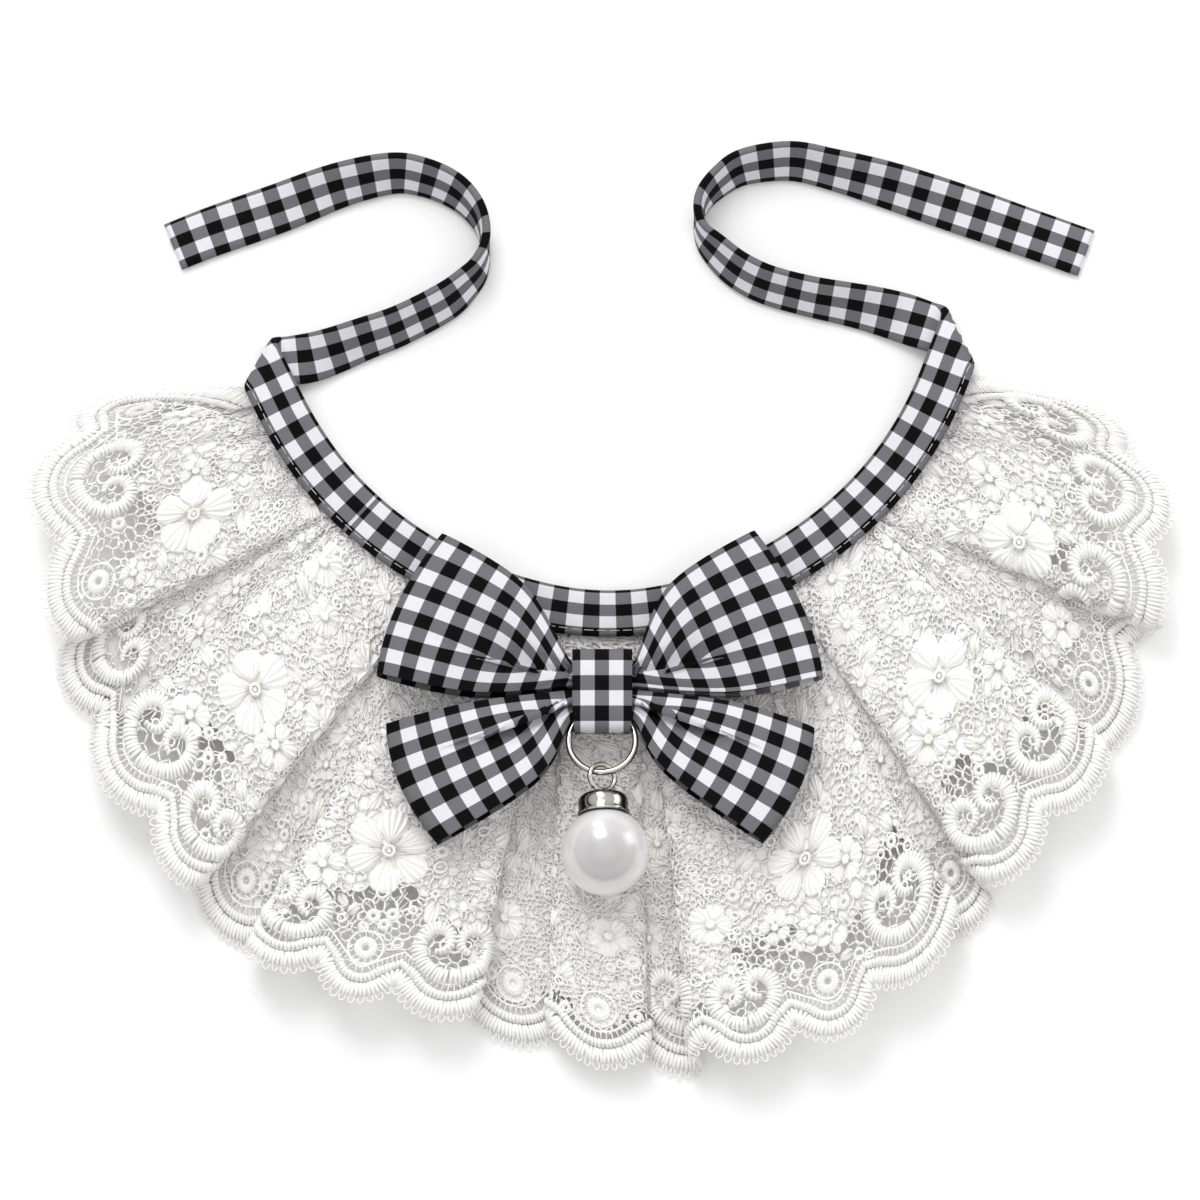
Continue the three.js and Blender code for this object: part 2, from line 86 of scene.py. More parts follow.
# The strip's section: along its width, then through its thickness. The top layer ends in a
# stitched groove near the low edge, and the layer under it stands out past it.
STRAP_SECTION = [
    (5.0, 0.0), (4.93, 0.35), (4.72, 0.66), (4.3, 0.84), (3.5, 0.9), (2.0, 0.94), (0.0, 0.95),
    (-2.0, 0.94), (-3.2, 0.92), (-3.62, 0.86), (-3.82, 0.74), (-4.02, 0.82), (-4.4, 0.74),
    (-4.75, 0.5), (-5.0, 0.05), (-4.92, -0.4), (-4.6, -0.76), (-4.0, -0.87), (0.0, -0.9),
    (4.0, -0.87), (4.6, -0.76), (4.93, -0.4),
]

# Where the top layer's groove and its stitches run, and where a tuck crosses the neckband.
GROOVE = -3.82
TUCK = 27.5

# Lace, one row for each line from the neckband to the hem: angle under the neckband, angle and
# radius at the hem, and height at the hem. Seven raised folds stand between low valleys.
FOLD_LINES = [
    (203.2, 196.4, 99, 0.5), (209.0, 197.2, 109, 3.5), (212.4, 199.6, 118, 6.5),
    (215.2, 203.5, 125, 8), (218.8, 210.0, 130, 8.5), (224.5, 216.3, 136, 7.5),
    (226.0, 216.8, 137, 0), (227.0, 224.4, 145, 0), (228.2, 224.6, 146, 8),
    (236.0, 231.0, 150, 9), (244.0, 237.3, 155, 8.5), (245.0, 237.8, 155, 0),
    (245.8, 243.6, 160, 0), (246.5, 244.0, 160, 8), (253.5, 251.5, 161, 9),
    (260.8, 259.8, 159, 8), (261.6, 260.2, 159, 0), (263.0, 265.8, 162, 0),
    (263.8, 266.2, 162, 4.5), (268.5, 269.4, 165, 4.5), (274.0, 272.6, 166, 4.5),
    (274.8, 272.9, 166, 0), (276.0, 276.4, 167, 0), (276.8, 276.8, 167, 8),
    (285.5, 287.0, 166, 9), (294.5, 296.6, 156, 8.5), (295.6, 297.0, 156, 0),
    (297.0, 300.4, 153, 0), (297.8, 300.8, 152, 8), (304.5, 307.5, 149, 9),
    (311.5, 313.8, 145, 8), (312.6, 314.4, 145, 0), (313.2, 319.5, 140, 2),
    (313.9, 324.8, 135, 0), (314.6, 325.4, 134, 7.5), (320.8, 331.0, 129, 8.5),
    (326.6, 336.8, 121, 6.5), (332.2, 340.6, 109, 3.5), (339.8, 343.0, 97, 0.5),
]
HEADER_RADIUS, HEADER_OUTER_RADIUS = 70.5, 79
FOLD_GROWTH = 0.8
LACE_MIDDLE = 0.6
FLAT_RADIUS = 120
DEEPEST = 96

# Scallops along the hem: where each one starts, and whether it holds a pair of scrolls.
SCALLOPS = [
    (2.5, 0), (19.3, 1), (44.4, 0), (67.0, 1), (88.0, 0), (99.0, 1), (121.8, 1), (142.0, 0),
    (164.5, 1), (184.2, 0), (200.9, 1), (221.5, 0), (245.0, 0), (268.5, 1), (291.0, 1),
    (309.8, 0), (328.1, 1), (354.0, 0), (374.0, 1), (394.4, 1), (418.0, 0), (444.2, 1),
    (471.5, 1), (492.1, 1),
]
END_SCALLOP = 24

# Bow loops: the side edge away from the bow's long axis and the one beside it, (x, y) from the
# knot's middle to the outer fold; the height of the middle at the knot and at both ends of the
# fold; half heights along the loop; where the pinched crease runs between the sides, at the knot
# and further out; and where the checks start.
BOW_LOOPS = {
    "bow_loop_upper_left": dict(
        outer=[(-4.4, -12.4), (-6.4, -12.1), (-15.8, 3.3), (-32.2, 13.8)],
        inner=[(-4.4, -17.0), (-6.2, -17.2), (-26, -18.6), (-45, -14.8)],
        knot=8.3, ends=(7.9, 9.4), halves=(1.8, 2, 3.9, 4.5), crease=(0.49, 0.69),
        checks=(0.55, 0.55)),
    "bow_loop_upper_right": dict(
        outer=[(4.2, -12.4), (6.2, -12.1), (13.2, 3.1), (30.3, 14.4)],
        inner=[(4.2, -17.0), (6.0, -17.2), (26, -18.6), (43.8, -15.3)],
        knot=8.3, ends=(7.9, 9.4), halves=(1.8, 2, 3.9, 4.5), crease=(0.49, 0.68),
        checks=(0.5, 0.6)),
    "bow_loop_lower_left": dict(
        outer=[(-4.4, -23.4), (-6.6, -24.6), (-13.2, -36.1), (-32.8, -49.1)],
        inner=[(-4.4, -17.6), (-6.2, -17.9), (-26, -20.6), (-43.1, -25.0)],
        knot=8.3, ends=(11.3, 9.3), halves=(1.8, 2, 3.4, 3.8), crease=(0.66, 0.63),
        checks=(0.1, 0.15)),
    "bow_loop_lower_right": dict(
        outer=[(4.2, -23.4), (6.4, -24.4), (12.6, -34.6), (31.7, -48.8)],
        inner=[(4.2, -17.6), (6.0, -17.9), (26, -20.6), (42.0, -25.7)],
        knot=8.3, ends=(11.3, 9.3), halves=(1.8, 2, 3.4, 3.8), crease=(0.66, 0.63),
        checks=(0.15, 0.15)),
}
LOOP_BULGE = 2.4
RISE_SHARES = (0, 0.02, 0.6, 1)

KNOT = dict(x=-0.15, y=-17.9, z=8.3, half_width=5.95, half_length=8.3, half_height=4.3,
            taper=0.08)
RING = dict(centre=(-0.2, -28.1, 9.5), radius=6.65, wire=0.62, tilt=12.6)
PEARL = dict(centre=(0.4, -50.9, 13.1), radius=8.7)
BAIL = dict(middle=15.4, half_width=2.7, half_height=2.65, wire=0.5, turn=24)

# Pendant cap, half profile: radius, and height above the pearl's middle.
CAP_PROFILE = [
    (3.0, 8.9), (4.3, 8.1), (4.75, 7.75), (4.95, 7.68), (5.12, 7.8), (5.16, 8.05), (5.1, 8.3),
    (5.0, 8.5), (4.98, 9.4), (4.96, 10.2), (4.88, 10.8), (4.6, 11.3), (4.0, 11.75),
    (3.2, 12.1), (1.8, 12.35), (0.7, 12.4),
]

# Large raised flowers, by where their middles lie on the collar: x, y, petal length, petals.
FLOWERS = [
    (-81.4, 17.9, 8.6, 5), (-69.0, -16.6, 7.8, 5), (-43.2, -49.7, 8.6, 6), (82.4, 12.8, 8.2, 5),
    (66.4, -14.0, 8.0, 5), (39.4, -51.2, 8.0, 6), (-82.6, -22.1, 4.6, 5), (-64.6, -28.8, 4.6, 6),
    (-56.2, -52.2, 4.4, 5), (64.4, -27.8, 4.8, 5), (48.4, -51.2, 4.2, 5), (92.0, -3.0, 5.0, 5),
    (-20.0, -62.0, 4.4, 5), (21.0, -64.0, 4.6, 5), (0.5, -66.5, 4.2, 5),
]


def linear(hex_colour):
    """A colour given as sRGB hex, as the linear red, green and blue that Blender mixes."""
    channels = [int(hex_colour[i:i + 2], 16) / 255 for i in (1, 3, 5)]
    return tuple(c / 12.92 if c <= 0.04045 else ((c + 0.055) / 1.055) ** 2.4 for c in channels)


def along_rows(rows, place):
    """Smooth lines through rows of numbers: place is 0 at the first row and 1 at the last."""
    rows = np.asarray(rows, float)
    last = len(rows) - 1
    at = np.clip(place, 0, 1) * last
    i = np.minimum(at.astype(int), last - 1)
    t = (at - i)[..., None]
    p1, p2 = rows[i], rows[i + 1]
    m1 = (p2 - rows[np.maximum(i - 1, 0)]) / 2
    m2 = (rows[np.minimum(i + 2, last)] - p1) / 2
    return ((2 * t**3 - 3 * t**2 + 1) * p1 + (t**3 - 2 * t**2 + t) * m1
            + (3 * t**2 - 2 * t**3) * p2 + (t**3 - t**2) * m2)


def smooth_step(x):
    x = np.clip(x, 0, 1)
    return x * x * (3 - 2 * x)


def unit(vectors):
    return vectors / np.maximum(np.linalg.norm(vectors, axis=-1, keepdims=True), 1e-12)


def around_neck(radius, degrees):
    angle = np.radians(degrees)
    circle = np.stack([np.cos(angle), np.sin(angle)], -1)
    return NECK_CENTRE + np.asarray(radius)[..., None] * circle


def running_length(points):
    steps = np.linalg.norm(np.diff(points, axis=0), axis=1)
    return np.concatenate([[0], np.cumsum(steps)])


# Selecting, meshes and pieces.

def deselect():
    if bpy.context.object and bpy.context.object.mode != "OBJECT":
        bpy.ops.object.mode_set(mode="OBJECT")
    bpy.ops.object.select_all(action="DESELECT")


def only(piece):
    deselect()
    piece.select_set(True)
    bpy.context.view_layer.objects.active = piece


def in_edit_mode(piece, *steps):
    """Runs edit-mode steps on the whole of a piece."""
    only(piece)
    bpy.ops.object.mode_set(mode="EDIT")
    bpy.ops.mesh.select_all(action="SELECT")
    for step in steps:
        step()
    bpy.ops.object.mode_set(mode="OBJECT")


def apply_modifier(piece, kind, **settings):
    only(piece)
    modifier = piece.modifiers.new(kind.lower(), kind)
    for name, value in settings.items():
        setattr(modifier, name, value)
    bpy.ops.object.modifier_apply(modifier=modifier.name)


def cloth_from_grid(name, columns, rows, shape, checks):
    """A grid primitive whose points are moved to shape(u, v), with the checks' own UVs."""
    deselect()
    bpy.ops.mesh.primitive_grid_add(x_subdivisions=columns, y_subdivisions=rows, size=2)
    piece = bpy.context.object
    piece.name = piece.data.name = name
    mesh = piece.data
    flat = np.empty(len(mesh.vertices) * 3)
    mesh.vertices.foreach_get("co", flat)
    u, v = ((flat.reshape(-1, 3)[:, :2] + 1) / 2).T
    mesh.vertices.foreach_set("co", (shape(u, v) * MM).astype(np.float32).ravel())
    corners = np.empty(len(mesh.loops), np.int32)
    mesh.loops.foreach_get("vertex_index", corners)
    layer = mesh.uv_layers.active or mesh.uv_layers.new()
    layer.data.foreach_set("uv", checks(u, v)[corners].astype(np.float32).ravel())
    mesh.update()
    in_edit_mode(
        piece,
        lambda: bpy.ops.mesh.remove_doubles(threshold=1e-6),
        lambda: bpy.ops.mesh.normals_make_consistent(inside=False),
    )
    return piece


def finish_piece(piece, material, slot, *nodes, angle=None):
    only(piece)
    if angle is None:
        bpy.ops.object.shade_smooth()
    else:
        bpy.ops.object.shade_smooth_by_angle(angle=math.radians(angle))
    piece.data.materials.clear()
    piece.data.materials.append(material)
    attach(piece, "root")
    if nodes:
        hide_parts(*nodes)
    return piece


# Threads: tubes along many paths at once, in the flat cloth's own millimetres.

def threads(paths, wide, tall, lift, sides=5):
    """Closed tubes along n paths of k places. wide and tall are half sizes, lift is the height."""
    paths = np.asarray(paths, float)
    n, k = paths.shape[:2]
    wide, tall, lift = (np.broadcast_to(x, (n, k))[..., None] for x in (wide, tall, lift))
    ahead = unit(np.gradient(paths, axis=1))
    across = np.stack([-ahead[..., 1], ahead[..., 0]], -1)
    angle = 2 * np.pi * (np.arange(sides) + 0.5) / sides
    flat = paths[:, :, None] + across[:, :, None] * (wide * np.cos(angle))[..., None]
    height = lift + tall * np.sin(angle)
    at = np.arange(n * k * sides).reshape(n, k, sides)
    turned = np.roll(at, -1, axis=2)
    walls = np.stack([at[:, :-1], turned[:, :-1], turned[:, 1:], at[:, 1:]], -1).reshape(-1, 4)
    caps = np.concatenate([at[:, 0, ::-1], at[:, -1]])
    return flat.reshape(-1, 2), height.reshape(-1), [walls, caps]


def mesh_of_threads(name, place, groups):
    """One mesh of thread groups, taken to their places in the collar by place(flat, height)."""
    flat = np.concatenate([g[0] for g in groups])
    height = np.concatenate([g[1] for g in groups])
    faces, start = [], 0
    for group_flat, _, kinds in groups:
        for kind in kinds:
            faces += (kind + start).tolist()
        start += len(group_flat)
    mesh = bpy.data.meshes.new(name)
    mesh.from_pydata((place(flat, height) * MM).tolist(), [], faces)
    mesh.update()
    piece = bpy.data.objects.new(name, mesh)
    bpy.context.scene.collection.objects.link(piece)
    return piece


SATIN_SHARES = np.array([-1, -0.7, 0, 0.7, 1])
SATIN_RISE = np.array([0.0, 0.72, 1, 0.72, 0.0])


def satin(centres, across, half, rise, thread, rng):
    """Satin stitches laid side by side across a line, over its raised core."""
    count = len(centres)
    half = np.broadcast_to(half, count) * rng.uniform(0.95, 1.06, count)
    lean = np.stack([-across[:, 1], across[:, 0]], -1) * rng.normal(0, 0.07, (count, 1))
    arms = (across + lean)[:, None] * (half[:, None] * SATIN_SHARES)[..., None]
    lift = np.broadcast_to(rise, count)[:, None] * SATIN_RISE + 0.12
    lift = lift * rng.uniform(0.92, 1.08, (count, 1))
    wide = thread * np.array([0.55, 0.95, 1, 0.95, 0.55])
    tall = thread * np.array([0.4, 0.9, 1, 0.9, 0.4])
    return threads(centres[:, None] + arms, wide, tall, lift)


def core(points, half, rise):
    """The raised core under a line of satin stitches, which also closes it below."""
    return threads(points[None], np.broadcast_to(half, len(points)) * 0.93,
                   np.broadcast_to(rise, len(points)) * 0.85, 0.05, sides=8)


def spaced(points, pitch, offset=0.0):
    """Places and directions at an even pitch along a dense line."""
    length = running_length(points)
    wanted = np.arange(offset + pitch / 2, length[-1], pitch)
    ahead = unit(np.gradient(points, axis=0))
    at = np.stack([np.interp(wanted, length, points[:, i]) for i in (0, 1)], -1)
    way = unit(np.stack([np.interp(wanted, length, ahead[:, i]) for i in (0, 1)], -1))
    return at, way


def left_of(way):
    return np.stack([-way[:, 1], way[:, 0]], -1)


# Lace.

def lace_point(line, row):
    """The middle of the lace: line runs along the fold lines, row from the neckband to the hem."""
    line, row = np.broadcast_arrays(line, row)
    table = np.array(FOLD_LINES, float)
    hem, reach, rise = np.moveaxis(along_rows(table[:, 1:], line), -1, 0)
    at = line * (len(table) - 1)
    neck = np.interp(at, np.arange(len(table)), table[:, 0])
    top, end = around_neck(np.full_like(neck, HEADER_RADIUS), neck), around_neck(reach, hem)
    point = top + (end - top) * row[..., None]
    radius = np.linalg.norm(point - NECK_CENTRE, axis=-1)
    free = np.maximum(0, (radius - HEADER_OUTER_RADIUS)
                      / np.maximum(reach - HEADER_OUTER_RADIUS, 1))
    z = LACE_MIDDLE + np.maximum(rise, 0) * free**FOLD_GROWTH
    return np.concatenate([point, z[..., None]], -1)


class Lace:
    """The ruffle's cloth: its own flat millimetres taken to where they lie on the collar.

    Flat, the gathered strip is a sector of a ring. s runs along the hem from the left end, and
    t from the hem towards the neckband.
    """

    columns, rows = 1600, 96

    def __init__(self, softness):
        lines = np.linspace(0, 1, 6001)
        lengths = running_length(lace_point(lines, 1.0))
        self.length = lengths[-1]
        self.turn = self.length / FLAT_RADIUS
        line = np.interp(np.linspace(0, self.length, self.columns + 1), lengths, lines)
        top, hem = lace_point(line, 0.0), lace_point(line, 1.0)
        self.depth = np.linalg.norm((hem - top)[:, :2], axis=1)
        t = np.linspace(0, DEEPEST, self.rows + 1)
        row = np.clip(1 - t / self.depth[:, None], 0, 1)
        points = self.softened(lace_point(line[:, None], row), softness)
        points[..., 2] += self.ripples(points, row)
        points[..., 2] = np.maximum(points[..., 2], LACE_MIDDLE * 0.7)
        self.points = points
        self.normals = unit(np.cross(np.gradient(points, axis=0), np.gradient(points, axis=1)))
        level = np.abs(self.normals[..., 2])
        beside = [np.roll(level, shift, axis=0) for shift in range(-8, 9, 2)]
        self.level = np.min(beside, axis=0)

    def softened(self, points, softness):
        """Rounds the folds' edges over a few millimetres along the cloth."""
        sigma = softness / (self.length / self.columns)
        reach = int(3 * sigma)
        weights = np.exp(-0.5 * (np.arange(-reach, reach + 1) / sigma) ** 2)
        padded = np.pad(points, ((reach, reach), (0, 0), (0, 0)), mode="edge")
        total = sum(w * padded[i:i + len(points)] for i, w in enumerate(weights))
        return total / weights.sum()

    def ripples(self, points, row):
        """Small gathers that start at the neckband, and the hem's own slow waves."""
        s = np.linspace(0, self.length, self.columns + 1)[:, None]
        away = np.clip((np.abs(points[..., 0]) - 48) / 8, 0, 1)
        near_neck = np.exp(-((row - 0.2) / 0.22) ** 2)
        gathers = 0.55 * np.sin(s / 2.3 + 1.7 * np.sin(s / 17)) * near_neck
        waves = 0.45 * np.sin(s / 6.1 + 2 * np.sin(s / 31)) * np.clip(row - 0.5, 0, 1) * 2
        return away * (gathers + waves) + (1 - away) * 0.5 * waves

    def flat(self, s, t):
        angle = (np.asarray(s) / self.length - 0.5) * self.turn
        radius = FLAT_RADIUS - np.asarray(t)
        return np.stack([radius * np.sin(angle), -radius * np.cos(angle)], -1)

    def along_and_in(self, flat):
        """s and t of flat places."""
        angle = np.arctan2(flat[..., 0], -flat[..., 1])
        return (angle / self.turn + 0.5) * self.length, FLAT_RADIUS - np.hypot(*flat.T).T

    def place(self, flat, height):
        s, t = self.along_and_in(flat)
        across, down = s / self.length * self.columns, t / DEEPEST * self.rows
        i = np.clip(across.astype(int), 0, self.columns - 1)
        j = np.clip(down.astype(int), 0, self.rows - 1)
        a, b = (across - i)[:, None], (down - j)[:, None]
        corners = [(i, j, (1 - a) * (1 - b)), (i + 1, j, a * (1 - b)),
                   (i, j + 1, (1 - a) * b), (i + 1, j + 1, a * b)]
        point = sum(w * self.points[p, q] for p, q, w in corners)
        normal = unit(sum(w * self.normals[p, q] for p, q, w in corners))
        return point + normal * height[:, None]

    def facing_up(self, flat):
        """How level the cloth lies: 1 where it is flat, and 0 on and beside upright folds."""
        s, t = self.along_and_in(flat)
        i = np.clip(s / self.length * self.columns, 0, self.columns).astype(int)
        j = np.clip(t / DEEPEST * self.rows, 0, self.rows).astype(int)
        return self.level[i, j]

    def under(self, x, y):
        """The flat place of the topmost cloth at this place of the collar."""
        away = np.hypot(self.points[..., 0] - x, self.points[..., 1] - y)
        score = np.where(away < 0.8, self.points[..., 2], -away)
        i, j = np.unravel_index(np.argmax(score), score.shape)
        return self.flat(i / self.columns * self.length, j / self.rows * DEEPEST)

    def hidden(self, flat):
        """True past the cloth's edge under the neckband."""
        s, t = self.along_and_in(flat)
        depth = np.interp(s, np.linspace(0, self.length, self.columns + 1), self.depth)
        return t > depth - 5


def scallop_edge(lace, settings):
    """The lace's cut edge, dense: down the left end, along the hem and up the right end."""
    first, sag = SCALLOPS[0][0], settings.scallop_depth / MM
    last = lace.length - first
    hem = [(s, sag) for s, _ in SCALLOPS] + [(last, sag)]
    nodes = np.array([(first, sag + END_SCALLOP), *hem, (last, sag + END_SCALLOP)])
    share = np.linspace(0, 1, 60, endpoint=False)
    line = []
    for a, b in zip(nodes[:-1], nodes[1:]):
        chord = np.linalg.norm(b - a)
        bulge = min(sag, 0.29 * chord) if abs(b[0] - a[0]) > 1 else first
        radius = (chord**2 / 4 + bulge**2) / (2 * bulge)
        x = (share - 0.5) * chord
        out = np.sqrt(radius**2 - x**2) - (radius - bulge)
        way = (b - a) / chord
        outward = np.array([way[1], -way[0]])
        line.append(a + share[:, None] * (b - a) + out[:, None] * outward)
    points = np.concatenate(line)
    return lace.flat(points[:, 0], points[:, 1])


def volute(side, scale):
    """One arm of a scroll in a scallop's own millimetres: from its foot to its curled eye."""
    step = 0.2
    s = np.arange(0, 24.5, step)
    radius = np.interp(s, [0, 7, 15, 24], [8.0, 6.6, 3.0, 2.3])
    turned = np.cumsum(step / radius)
    path = np.cumsum(np.stack([np.cos(turned), np.sin(turned)], -1) * step, axis=0)
    return np.stack([side * path[:, 0], 8.4 + path[:, 1]], -1) * scale


def petal(middle, angle, inner, outer, half, strands, tall, rounded=0.3):
    """A raised petal of satin strands that fan from its base to its rounded rim."""
    fan = np.linspace(-1, 1, 2 * strands + 1)[:, None]
    share = np.array([0, 0.12, 0.3, 0.5, 0.7, 0.88, 0.97, 1])[None]
    rim = 1 - rounded + rounded * np.sqrt(np.clip(1 - fan**2, 0, 1))
    reach = inner + (outer - inner) * rim * share
    spread = fan * half * np.sin(np.pi / 2 * np.clip(share * 1.12, 0, 1)) ** 1.5
    body = np.sin(np.pi * np.clip(0.12 + 0.88 * share, 0, 1) ** 1.3) ** 0.6
    dome = tall * (0.15 + 0.85 * body) * np.sqrt(np.clip(1 - 0.8 * fan**2, 0, 1))
    ridge = np.where(np.arange(len(fan)) % 2, 0.2, -0.24)[:, None] * (share < 0.99)
    crease = 0.25 * np.exp(-(fan / 0.14) ** 2) * (1 - share)
    edge = (np.abs(fan) > 0.99) | (share > 0.99)
    height = np.where(edge, 0.0, np.maximum(0.1 + dome + ridge - crease, 0.05))
    out = np.array([math.cos(angle), math.sin(angle)])
    side = np.array([-out[1], out[0]])
    flat = middle + reach[..., None] * out + spread[..., None] * side
    at = np.arange(height.size).reshape(height.shape)
    faces = np.stack([at[:-1, :-1], at[:-1, 1:], at[1:, 1:], at[1:, :-1]], -1).reshape(-1, 4)
    return flat.reshape(-1, 2), height.reshape(-1), [faces[:, ::-1]]


def ring_of_thread(middle, radius, wide, tall, lift, count=10):
    angle = np.linspace(0, 2 * np.pi, count + 1)
    path = middle + radius * np.stack([np.cos(angle), np.sin(angle)], -1)
    return threads(path[None], wide, tall, lift, sides=5)


def flower(middle, length, petals, turn, rng):
    """A raised flower: petals of satin strands round a corded ring."""
    parts = []
    for i in range(petals):
        angle = turn + 2 * np.pi * i / petals + rng.normal(0, 0.06)
        half = length * math.tan(math.pi / petals) * 0.6 * rng.uniform(0.9, 1.06)
        reach = length * rng.uniform(0.92, 1.06)
        strands = 5 if length > 6 else 3
        parts.append(petal(middle, angle, length * 0.1, reach, half, strands,
                           (0.25 + 0.085 * length) * rng.uniform(0.85, 1.15)))
    parts.append(ring_of_thread(middle, length * 0.11 + 0.12, 0.34, 0.4, 0.75))
    parts.append(ring_of_thread(middle, 0.25, 0.3, 0.45, 0.6, count=5))
    return parts


def button(middle, radius, turn):
    """A small domed rosette of radial stitches with a hole in its middle."""
    spokes = 2 * max(8, int(radius * 9))
    around = turn + np.linspace(0, 2 * np.pi, spokes, endpoint=False)[:, None]
    share = np.array([0.26, 0.4, 0.65, 0.9, 1.0])[None]
    rise = np.array([0.0, 0.75, 0.95, 0.55, 0.0])[None]
    ridge = np.where(np.arange(spokes) % 2, 0.1, -0.1)[:, None] * (rise > 0)
    flat = middle + radius * share[..., None] * np.stack([np.cos(around), np.sin(around)], -1)
    height = 0.12 + rise * 0.5 * radius ** 0.7 + ridge
    at = np.arange(height.size).reshape(height.shape)
    beyond = np.roll(at, -1, axis=0)
    faces = np.stack([at[:, :-1], at[:, 1:], beyond[:, 1:], beyond[:, :-1]], -1).reshape(-1, 4)
    return flat.reshape(-1, 2), height.reshape(-1), [faces]


class Motifs:
    """What is laid on the lace, and the places that the net leaves to it."""

    def __init__(self):
        self.parts = {"border": [], "scrolls": [], "flowers": [], "net": [], "ground": []}
        self.taken = []

    def keep_clear(self, points, radius):
        for p in np.atleast_2d(points):
            self.taken.append((p[0], p[1], radius))

    def clear_of(self, point, radius):
        if not self.taken:
            return True
        taken = np.array(self.taken)
        away = np.hypot(taken[:, 0] - point[0], taken[:, 1] - point[1])
        return bool((away > taken[:, 2] + radius).all())


def add_border(motifs, edge, settings, rng):
    """The hem's satin border, the raised cord along it, a ladder of bars, and the picots."""
    band, cord = settings.border_width / MM, settings.cord_width / MM
    pitch, ladder = settings.satin_pitch / MM, settings.ladder / MM
    thread = pitch * 0.56
    inward = left_of(unit(np.gradient(edge, axis=0)))
    border = motifs.parts["border"]
    for offset, half, rise in ((band / 2 + 0.1, band / 2, 0.85),
                               (band + cord / 2, cord / 2, 1.25)):
        line = edge + inward * offset
        at, ahead = spaced(line, pitch)
        border.append(satin(at, left_of(ahead), half, rise, thread, rng))
        border.append(core(line[::3], half, rise * 0.9))
    inner = edge + inward * (band + cord + ladder)
    at, ahead = spaced(inner, 1.0)
    bars = at[:, None] - left_of(ahead)[:, None] * np.array([-0.2, ladder + 0.4])[:, None]
    border.append(threads(bars, 0.19, 0.19, 0.35, sides=3))
    border.append(threads(inner[None, ::4], 0.24, 0.24, 0.35, sides=5))

    at, ahead = spaced(edge, settings.picot_pitch / MM)
    out, along = -left_of(ahead), ahead
    loop = np.array([(-0.5, -0.5), (-0.72, 0.35), (-0.42, 1.0), (0, 1.22), (0.42, 1.0),
                     (0.72, 0.35), (0.5, -0.5)])
    size = rng.uniform(0.75, 1.05, (len(at), 1, 1))
    paths = at[:, None] + (along[:, None] * loop[:, :1] + out[:, None] * loop[:, 1:]) * size
    border.append(threads(paths, 0.2, 0.2, 0.3, sides=4))


def spoked_ring(middle, radius):
    """A ring round a rosette, tied to it by short spokes."""
    turn = np.linspace(0, 2 * np.pi, 14, endpoint=False)
    outward = np.stack([np.cos(turn), np.sin(turn)], -1)[:, None]
    spokes = middle + outward * np.array([radius - 0.1, radius + 1.2])[:, None]
    return [ring_of_thread(middle, radius + 1.1, 0.25, 0.25, 0.4, count=18),
            threads(spokes, 0.17, 0.17, 0.35, sides=3)]


def add_scrolls(lace, motifs, settings, rng):
    """Pairs of scrolls in the large scallops, and spoked rosettes in the others."""
    pitch, thread = settings.satin_pitch / MM, settings.satin_pitch / MM * 0.56
    starts = [s for s, _ in SCALLOPS] + [lace.length - SCALLOPS[0][0]]
    scrolls = motifs.parts["scrolls"]
    for (start, scrolled), end in zip(SCALLOPS, starts[1:]):
        width, s = end - start, (start + end) / 2
        foot = lace.flat(s, 0.0)
        inward = unit(lace.flat(s, 1.0) - foot)
        along = np.array([inward[1], -inward[0]])
        if not scrolled:
            middle = foot + inward * 11.0
            radius = min(width * 0.14, 2.4)
            motifs.parts["flowers"].append(button(middle, radius, 0.0))
            scrolls.extend(spoked_ring(middle, radius))
            motifs.keep_clear(middle, radius + 1.1)
            continue
        for side in (-1, 1):
            scale = np.clip(width / 21.5, 0.84, 1.06) * rng.uniform(0.96, 1.03)
            arm = volute(side, scale)
            path = foot + arm[:, :1] * along + arm[:, 1:] * inward
            at, ahead = spaced(path, pitch)
            share = np.linspace(0, 1, len(at))
            half = np.interp(share, [0, 0.5, 0.85, 1], [1.6, 1.6, 1.15, 0.6])
            scrolls.append(satin(at, left_of(ahead), half, 1.45, thread, rng))
            under = path[::4]
            half = np.interp(np.linspace(0, 1, len(under)), [0, 0.55, 0.9, 1],
                             [1.6, 1.6, 1.1, 0.55])
            scrolls.append(core(under, half, 1.3))
            motifs.keep_clear(path[::6], 1.3)
            eye = path[-1] + (path[-24] - path[-1]) * 0.5
            scrolls.append(ring_of_thread(eye, 0.8, 0.24, 0.24, 0.6, count=8))
        heart = foot + inward * 14.6
        motifs.keep_clear(heart, 1.6)
        scrolls.append(ring_of_thread(heart, 1.5, 0.3, 0.3, 0.45, count=10))


def scatter(lace, motifs, rng, wanted, tries, deep, sizes, margin):
    """Places for scattered motifs that clear the others: their middles and sizes."""
    found = []
    for _ in range(tries):
        if len(found) == wanted:
            break
        middle = lace.flat(rng.uniform(5, lace.length - 5), rng.uniform(*deep))
        size = rng.uniform(*sizes)
        if not lace.hidden(middle) and motifs.clear_of(middle, size * margin):
            motifs.keep_clear(middle, size * margin)
            found.append((middle, size))
    return found


